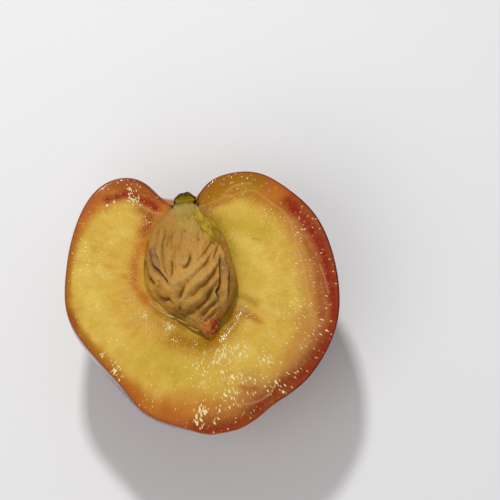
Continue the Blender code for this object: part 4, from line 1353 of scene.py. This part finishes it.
class NECTARINE_OT_stalk(bpy.types.Operator):
    """Builds the stub of the stalk"""

    bl_idname = "nectarine.stalk"
    bl_label = "Stalk"

    def execute(self, context):
        points, faces, marks = stalk_shape()
        finish = stalk_finish(context.scene.nectarine_stalk)
        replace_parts(add_piece("stalk_stub", points, faces, finish, marks), "stalk")
        return {"FINISHED"}


# ---------------------------------------------------------------- scraps of flesh on the stone

class ScrapChoices(bpy.types.PropertyGroup):
    """The scraps of flesh that cling to the stone."""

    green: colour_choice("Collar", "Greenish flesh over the stone's upper edge", (0.34, 0.180, 0.003))
    lime: colour_choice("Collar streaks", "Paler streaks of the collar", (0.50, 0.35, 0.016))
    cream: colour_choice("Fibres", "Cream fibres between the stalk and the stone", (0.43, 0.27, 0.045))
    stem_green: colour_choice("Green fibres", "The fibres close by the stalk", (0.24, 0.165, 0.003))
    pale: colour_choice("Flakes", "Pale flakes and threads", (0.50, 0.30, 0.080))
    pink: colour_choice("Pulp", "Pulp at the stone's tip", (0.62, 0.21, 0.045))
    red: colour_choice("Red pulp", "The reddest pulp", (0.42, 0.045, 0.006))


# Strands: (half width, half thickness, lift above what they lie on, places), with places on the stone as
# (across, distance from its stem end).
COLLAR = [
    (1.15, 0.16, 0.08, [(2.4, 1.2), (2.8, 3.0), (3.3, 5.4), (4.2, 8.0), (5.3, 10.6), (6.1, 12.6),
                        (6.6, 14.6)]),
    (0.55, 0.12, 0.10, [(1.9, 2.6), (1.7, 5.0), (2.0, 7.2), (3.2, 9.4), (4.4, 12.0), (5.2, 14.6)]),
    (0.70, 0.14, 0.06, [(4.4, 3.0), (5.4, 5.6), (6.6, 8.4), (7.4, 11.2)]),
]
STEM_FIBRES = [
    (0.85, 0.20, 0.20, [(-1.9, -1.2), (-2.5, 1.2), (-3.0, 4.6)]),
    (0.80, 0.22, 0.24, [(-1.1, -1.4), (-1.6, 1.4), (-2.0, 5.6)]),
    (0.85, 0.24, 0.26, [(-0.3, -1.5), (-0.6, 1.6), (-1.0, 6.6)]),
    (0.80, 0.24, 0.26, [(0.6, -1.4), (0.5, 1.4), (0.2, 6.0)]),
    (0.75, 0.20, 0.20, [(1.4, -1.2), (1.4, 1.2), (1.2, 4.8)]),
    (0.22, 0.14, 0.30, [(-1.2, 0.2), (-1.2, 2.8), (-1.7, 7.0)]),
    (0.20, 0.14, 0.30, [(-0.2, 0.4), (0.0, 3.0), (-0.3, 7.4)]),
    (0.18, 0.12, 0.26, [(-2.4, 0.6), (-3.2, 3.0), (-4.0, 5.4)]),
]
FLAKES = [
    (0.30, 0.08, 0.05, [(-13.6, 23.0), (-13.0, 24.7), (-12.0, 25.9), (-10.9, 26.9)]),
    (0.34, 0.08, 0.08, [(-12.2, 25.4), (-11.2, 26.7), (-9.9, 27.9), (-8.6, 28.9)]),
    (0.30, 0.10, 0.12, [(-10.4, 27.2), (-9.2, 28.4), (-7.8, 29.3)]),
    (0.26, 0.10, 0.12, [(-7.6, 29.4), (-6.5, 30.4), (-5.7, 31.0), (-4.7, 31.6)]),
    (0.22, 0.10, 0.12, [(-5.4, 30.6), (-4.4, 31.6), (-3.2, 32.6)]),
    (0.18, 0.09, 0.14, [(-3.8, 31.0), (-2.8, 32.2), (-1.8, 33.0)]),
    (0.15, 0.08, 0.12, [(-2.8, 31.4), (-1.8, 32.4), (-0.8, 33.0)]),
    (0.20, 0.08, 0.12, [(-4.8, 32.2), (-3.6, 33.4), (-2.2, 34.2)]),
    (0.16, 0.10, 0.10, [(7.0, 26.6), (6.2, 28.4), (5.0, 30.2), (3.8, 31.8)]),
    (0.14, 0.08, 0.10, [(6.0, 27.4), (5.2, 29.4), (4.2, 30.8)]),
]
TIP_PULP = [
    (0.70, 0.22, 0.05, [(-2.0, 33.2), (-1.3, 34.3), (-0.5, 35.2)]),
    (0.75, 0.24, 0.10, [(-1.0, 33.0), (-0.4, 34.2), (0.4, 35.4)]),
    (0.70, 0.24, 0.12, [(-0.2, 33.0), (0.4, 34.0), (1.0, 35.2)]),
    (0.60, 0.24, 0.14, [(0.4, 33.8), (0.9, 34.6), (1.2, 35.4)]),
    (0.55, 0.22, 0.10, [(1.1, 32.8), (1.7, 33.6), (1.9, 34.6)]),
    (0.34, 0.18, 0.10, [(2.0, 31.6), (2.6, 32.4), (2.7, 33.4)]),
    (0.26, 0.15, 0.06, [(3.2, 30.2), (3.7, 31.2), (3.5, 32.2)]),
]
PULP_REDNESS = [0.15, 0.35, 0.30, 0.65, 0.75, 0.45, 0.15]
FLAKE_PINKNESS = 0.2
STEM_TOP = 1.35                     # how high the fibres stand between the stalk and the stone
LOWEST = -9.0                       # lower than anything that a strand lies on
STRAND_ROWS = 70
STRAND_SIDES = 20


def resting_height(across, down):
    """The height of what a strand lies on: the stone, or beyond its edge the flesh."""
    by_stone = (down > 0) & (down < STONE_LENGTH)
    stone = np.where(by_stone, stone_top(across, down), LOWEST)
    return np.maximum(stone, face_height(*stone_to_fruit(across, down)))


def strand_shape(half_width, half_thickness, lift, line, seed, floor):
    """A flat, tapered strand that follows what it lies on, but not below floor: its points and faces."""
    across, down = smooth_line(line, STRAND_ROWS).T
    heading = np.gradient(np.stack([across, down], axis=-1), axis=0)
    heading /= np.linalg.norm(heading, axis=1, keepdims=True)
    share = np.linspace(0, 1, STRAND_ROWS)
    taper = np.clip(1 - np.abs(2 * share - 1) ** 3, 0, 1)[:, None] ** 0.7
    turn = 2 * math.pi * np.arange(STRAND_SIDES)[None, :] / STRAND_SIDES
    ragged = 1 + 0.30 * lumps(np.stack([share * 9, 0 * share, 0 * share], axis=-1), 1.0, seed)[:, None]
    out = half_width * taper * ragged * np.cos(turn)
    across, down = across[:, None] + out * heading[:, 1:], down[:, None] - out * heading[:, :1]
    x, y = stone_to_fruit(across, down)
    rest = np.maximum(resting_height(across, down), floor)
    rings = np.stack([x, y, rest + lift * taper + half_thickness * taper * np.sin(turn)], axis=-1)
    rough = 0.3 * half_thickness * taper * lumps(rings, 0.7, seed + 1)
    return tube(rings + rough[..., None])


def strands_shape(strands, seed, floor=LOWEST):
    """Several strands in one mesh: its points and faces."""
    points, faces = [], []
    for number, strand in enumerate(strands):
        strand_points, strand_faces = strand_shape(*strand, seed + 2 * number, floor)
        faces += [group + number * len(strand_points) for group in strand_faces]
        points.append(strand_points)
    return np.vstack(points), faces


def scrap_finish(name, plain, other, mark):
    """Wet scraps of flesh, clouded from a plain colour to the other where mark is strong."""
    f = Finish(name)
    place = f.place()
    clouds = f.noise(place, 1.2 * MM, 3.0, 0.6)
    grain = f.noise(place, 0.4 * MM, 3.0, 0.6)
    relief = f.bump(grain, 0.18 * MM)
    f.wire(
        Base_Color=f.mix(f.fade(f.swayed(f.mark(mark), clouds, 1.7), 0.2, 0.9), plain, other), Normal=relief,
        Roughness=f.fade(grain, 0.3, 0.7, 0.40, 0.6), Specular_IOR_Level=0.06,
        Coat_Weight=0.45, Coat_Roughness=0.08, Coat_Normal=relief,
        Subsurface_Weight=0.15, Subsurface_Scale=0.6 * MM, Subsurface_Radius=(1.0, 0.5, 0.2),
    )
    return f.material


class NECTARINE_OT_scraps(bpy.types.Operator):
    """Builds the collar of flesh, the fibres, the pale flakes and the pulp that cling to the stone"""

    bl_idname = "nectarine.scraps"
    bl_label = "Scraps on the stone"

    def execute(self, context):
        look = context.scene.nectarine_scraps
        points, faces = strands_shape(COLLAR, 61)
        finish = scrap_finish("collar_flesh", look.green, look.lime, "paleness")
        paleness = fade(lumps(points * (1.0, 0.45, 1.0), 0.9, 62), -0.8, 1.0)
        add_piece("flesh_collar", points, faces, finish, {"paleness": paleness})

        points, faces = strands_shape(STEM_FIBRES, 101, floor=STEM_TOP)
        finish = scrap_finish("stem_fibres", look.cream, look.stem_green, "greenness")
        greenness = 0.2 + fade(points[:, 1] + 0.5 * lumps(points, 0.9, 63), -2.9, -1.6)
        add_piece("stem_fibres", points, faces, finish, {"greenness": greenness})

        points, faces = strands_shape(FLAKES, 71)
        finish = scrap_finish("pale_flesh", look.pale, look.pink, "pinkness")
        pinkness = np.full(len(points), FLAKE_PINKNESS)
        add_piece("flesh_flakes", points, faces, finish, {"pinkness": pinkness})

        points, faces = strands_shape(TIP_PULP, 81)
        finish = scrap_finish("tip_pulp", look.pink, look.red, "redness")
        redness = np.repeat(PULP_REDNESS, len(points) // len(TIP_PULP))
        add_piece("tip_pulp", points, faces, finish, {"redness": redness})
        return {"FINISHED"}


# ---------------------------------------------------------------- the stage

class StageChoices(bpy.types.PropertyGroup):
    """The floor, the light and the camera."""

    floor_colour: colour_choice("Floor", "The pale floor", (0.86, 0.86, 0.86))
    azimuth: angle_choice("Azimuth", "The camera's turn round the half", -7.1)
    elevation: angle_choice("Elevation", "The camera's height above the floor", 70.0)
    distance: length_choice("Distance", "From the camera to the middle of the picture", 0.7, 5.0)
    picture_width: length_choice("Picture width", "What the picture takes in at that distance", 0.12771, 1.0)
    right_of_middle: length_choice("Aim right", "How far right of the half the camera aims", 0.0120, 0.1)
    above_middle: length_choice("Aim up", "How far above the half the camera aims", 0.0127, 0.1)
    key_power: power_choice("Key light", "Power of the main light", 1.95)
    fill_power: power_choice("Fill light", "Power of the wide light", 3.0)
    sky: share_choice("Sky", "Strength of the even light all round", 0.28)


SENSOR_WIDTH = 36.0
FLOOR_SIZE = 3.0
KEY_LIGHT = (188, 57, 0.60, 0.06)   # (azimuth, elevation, distance, size), in degrees and metres
FILL_LIGHT = (-40, 50, 0.90, 0.70)


def direction(azimuth, elevation):
    """The way to a place at azimuth and elevation, where azimuth 0 is the tip's side."""
    level = math.cos(elevation)
    return Vector((math.sin(azimuth) * level, -math.cos(azimuth) * level, math.sin(elevation)))


def look_back(holder, aim, back, distance):
    """Stands an object at distance from aim on the side that back points to, and turns it to face aim."""
    holder.location = aim + back * distance
    holder.rotation_euler = (-back).to_track_quat("-Z", "Y").to_euler()


def add_camera(look):
    """The camera, looking down on the cut face from the tip's side."""
    back = direction(look.azimuth, look.elevation)
    right = Vector((math.cos(look.azimuth), math.sin(look.azimuth), 0))
    low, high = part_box("fruit_half")
    aim = Vector(((low.x + high.x) / 2, (low.y + high.y) / 2, high.z))
    aim += right * look.right_of_middle + back.cross(right) * look.above_middle
    lens = bpy.data.cameras.new("camera")
    lens.sensor_width = SENSOR_WIDTH
    lens.sensor_fit = "HORIZONTAL"
    lens.lens = SENSOR_WIDTH * look.distance / look.picture_width
    camera = new_object("camera", lens)
    look_back(camera, aim, back, look.distance)
    bpy.context.scene.camera = camera


def add_area_light(name, azimuth, elevation, distance, size, power):
    """A square light that faces the middle of the cut side."""
    light = bpy.data.lights.new(name, "AREA")
    light.shape, light.size, light.energy = "SQUARE", size, power
    back = direction(math.radians(azimuth), math.radians(elevation))
    look_back(new_object(name, light), Vector((0, 0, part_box("fruit_half")[1].z)), back, distance)


def add_floor(colour):
    """A plain pale floor with a faint, even grain."""
    mesh = bpy.data.meshes.new("floor")
    half = FLOOR_SIZE / 2
    corners = [(-half, -half, 0), (half, -half, 0), (half, half, 0), (-half, half, 0)]
    mesh.from_pydata(corners, [], [(0, 1, 2, 3)])
    f = Finish("floor")
    darker = [0.99 * part for part in colour]
    f.wire(Base_Color=f.mix(f.noise(f.place(), 20.0 * MM), colour, darker), Roughness=0.8)
    mesh.materials.append(f.material)
    new_object("floor", mesh)


class NECTARINE_OT_stage(bpy.types.Operator):
    """Sets up the floor, the light and the camera"""

    bl_idname = "nectarine.stage"
    bl_label = "Stage"

    def execute(self, context):
        look = context.scene.nectarine_stage
        add_floor(look.floor_colour)
        add_camera(look)
        add_area_light("key", *KEY_LIGHT, look.key_power)
        add_area_light("fill", *FILL_LIGHT, look.fill_power)
        world = bpy.data.worlds.new("sky")
        world.use_nodes = True
        sky = world.node_tree.nodes["Background"]
        sky.inputs["Color"].default_value = (1, 1, 1, 1)
        sky.inputs["Strength"].default_value = look.sky
        context.scene.world = world
        context.scene.view_settings.view_transform = "Standard"
        return {"FINISHED"}


# ---------------------------------------------------------------- the add-on

CHOICES = {                         # the user's choices by their place on the scene, with what they feed
    "nectarine_flesh": (FleshChoices, NECTARINE_OT_flesh),
    "nectarine_skin": (SkinChoices, NECTARINE_OT_skin),
    "nectarine_stone": (StoneChoices, NECTARINE_OT_stone),
    "nectarine_stalk": (StalkChoices, NECTARINE_OT_stalk),
    "nectarine_scraps": (ScrapChoices, NECTARINE_OT_scraps),
    "nectarine_stage": (StageChoices, NECTARINE_OT_stage),
}


class NECTARINE_PT_panel(bpy.types.Panel):
    """Lists the pieces of the nectarine half and what can be changed on each"""

    bl_idname = "NECTARINE_PT_panel"
    bl_label = "Nectarine half"
    bl_space_type = "VIEW_3D"
    bl_region_type = "UI"
    bl_category = "Nectarine"

    def draw(self, context):
        for place, (choices, operator) in CHOICES.items():
            box = self.layout.box()
            for choice in choices.__annotations__:
                box.prop(getattr(context.scene, place), choice)
            box.operator(operator.bl_idname)


def register():
    for place, (choices, operator) in CHOICES.items():
        bpy.utils.register_class(choices)
        setattr(bpy.types.Scene, place, bpy.props.PointerProperty(type=choices))
        bpy.utils.register_class(operator)
    bpy.utils.register_class(NECTARINE_PT_panel)


def unregister():
    bpy.utils.unregister_class(NECTARINE_PT_panel)
    for place, (choices, operator) in CHOICES.items():
        bpy.utils.unregister_class(operator)
        delattr(bpy.types.Scene, place)
        bpy.utils.unregister_class(choices)


def main():
    register()
    bpy.ops.nectarine.stage()
    bpy.ops.nectarine.flesh()
    bpy.ops.nectarine.skin()
    bpy.ops.nectarine.stone()
    bpy.ops.nectarine.stalk()
    bpy.ops.nectarine.scraps()


if __name__ == "__main__":
    main()
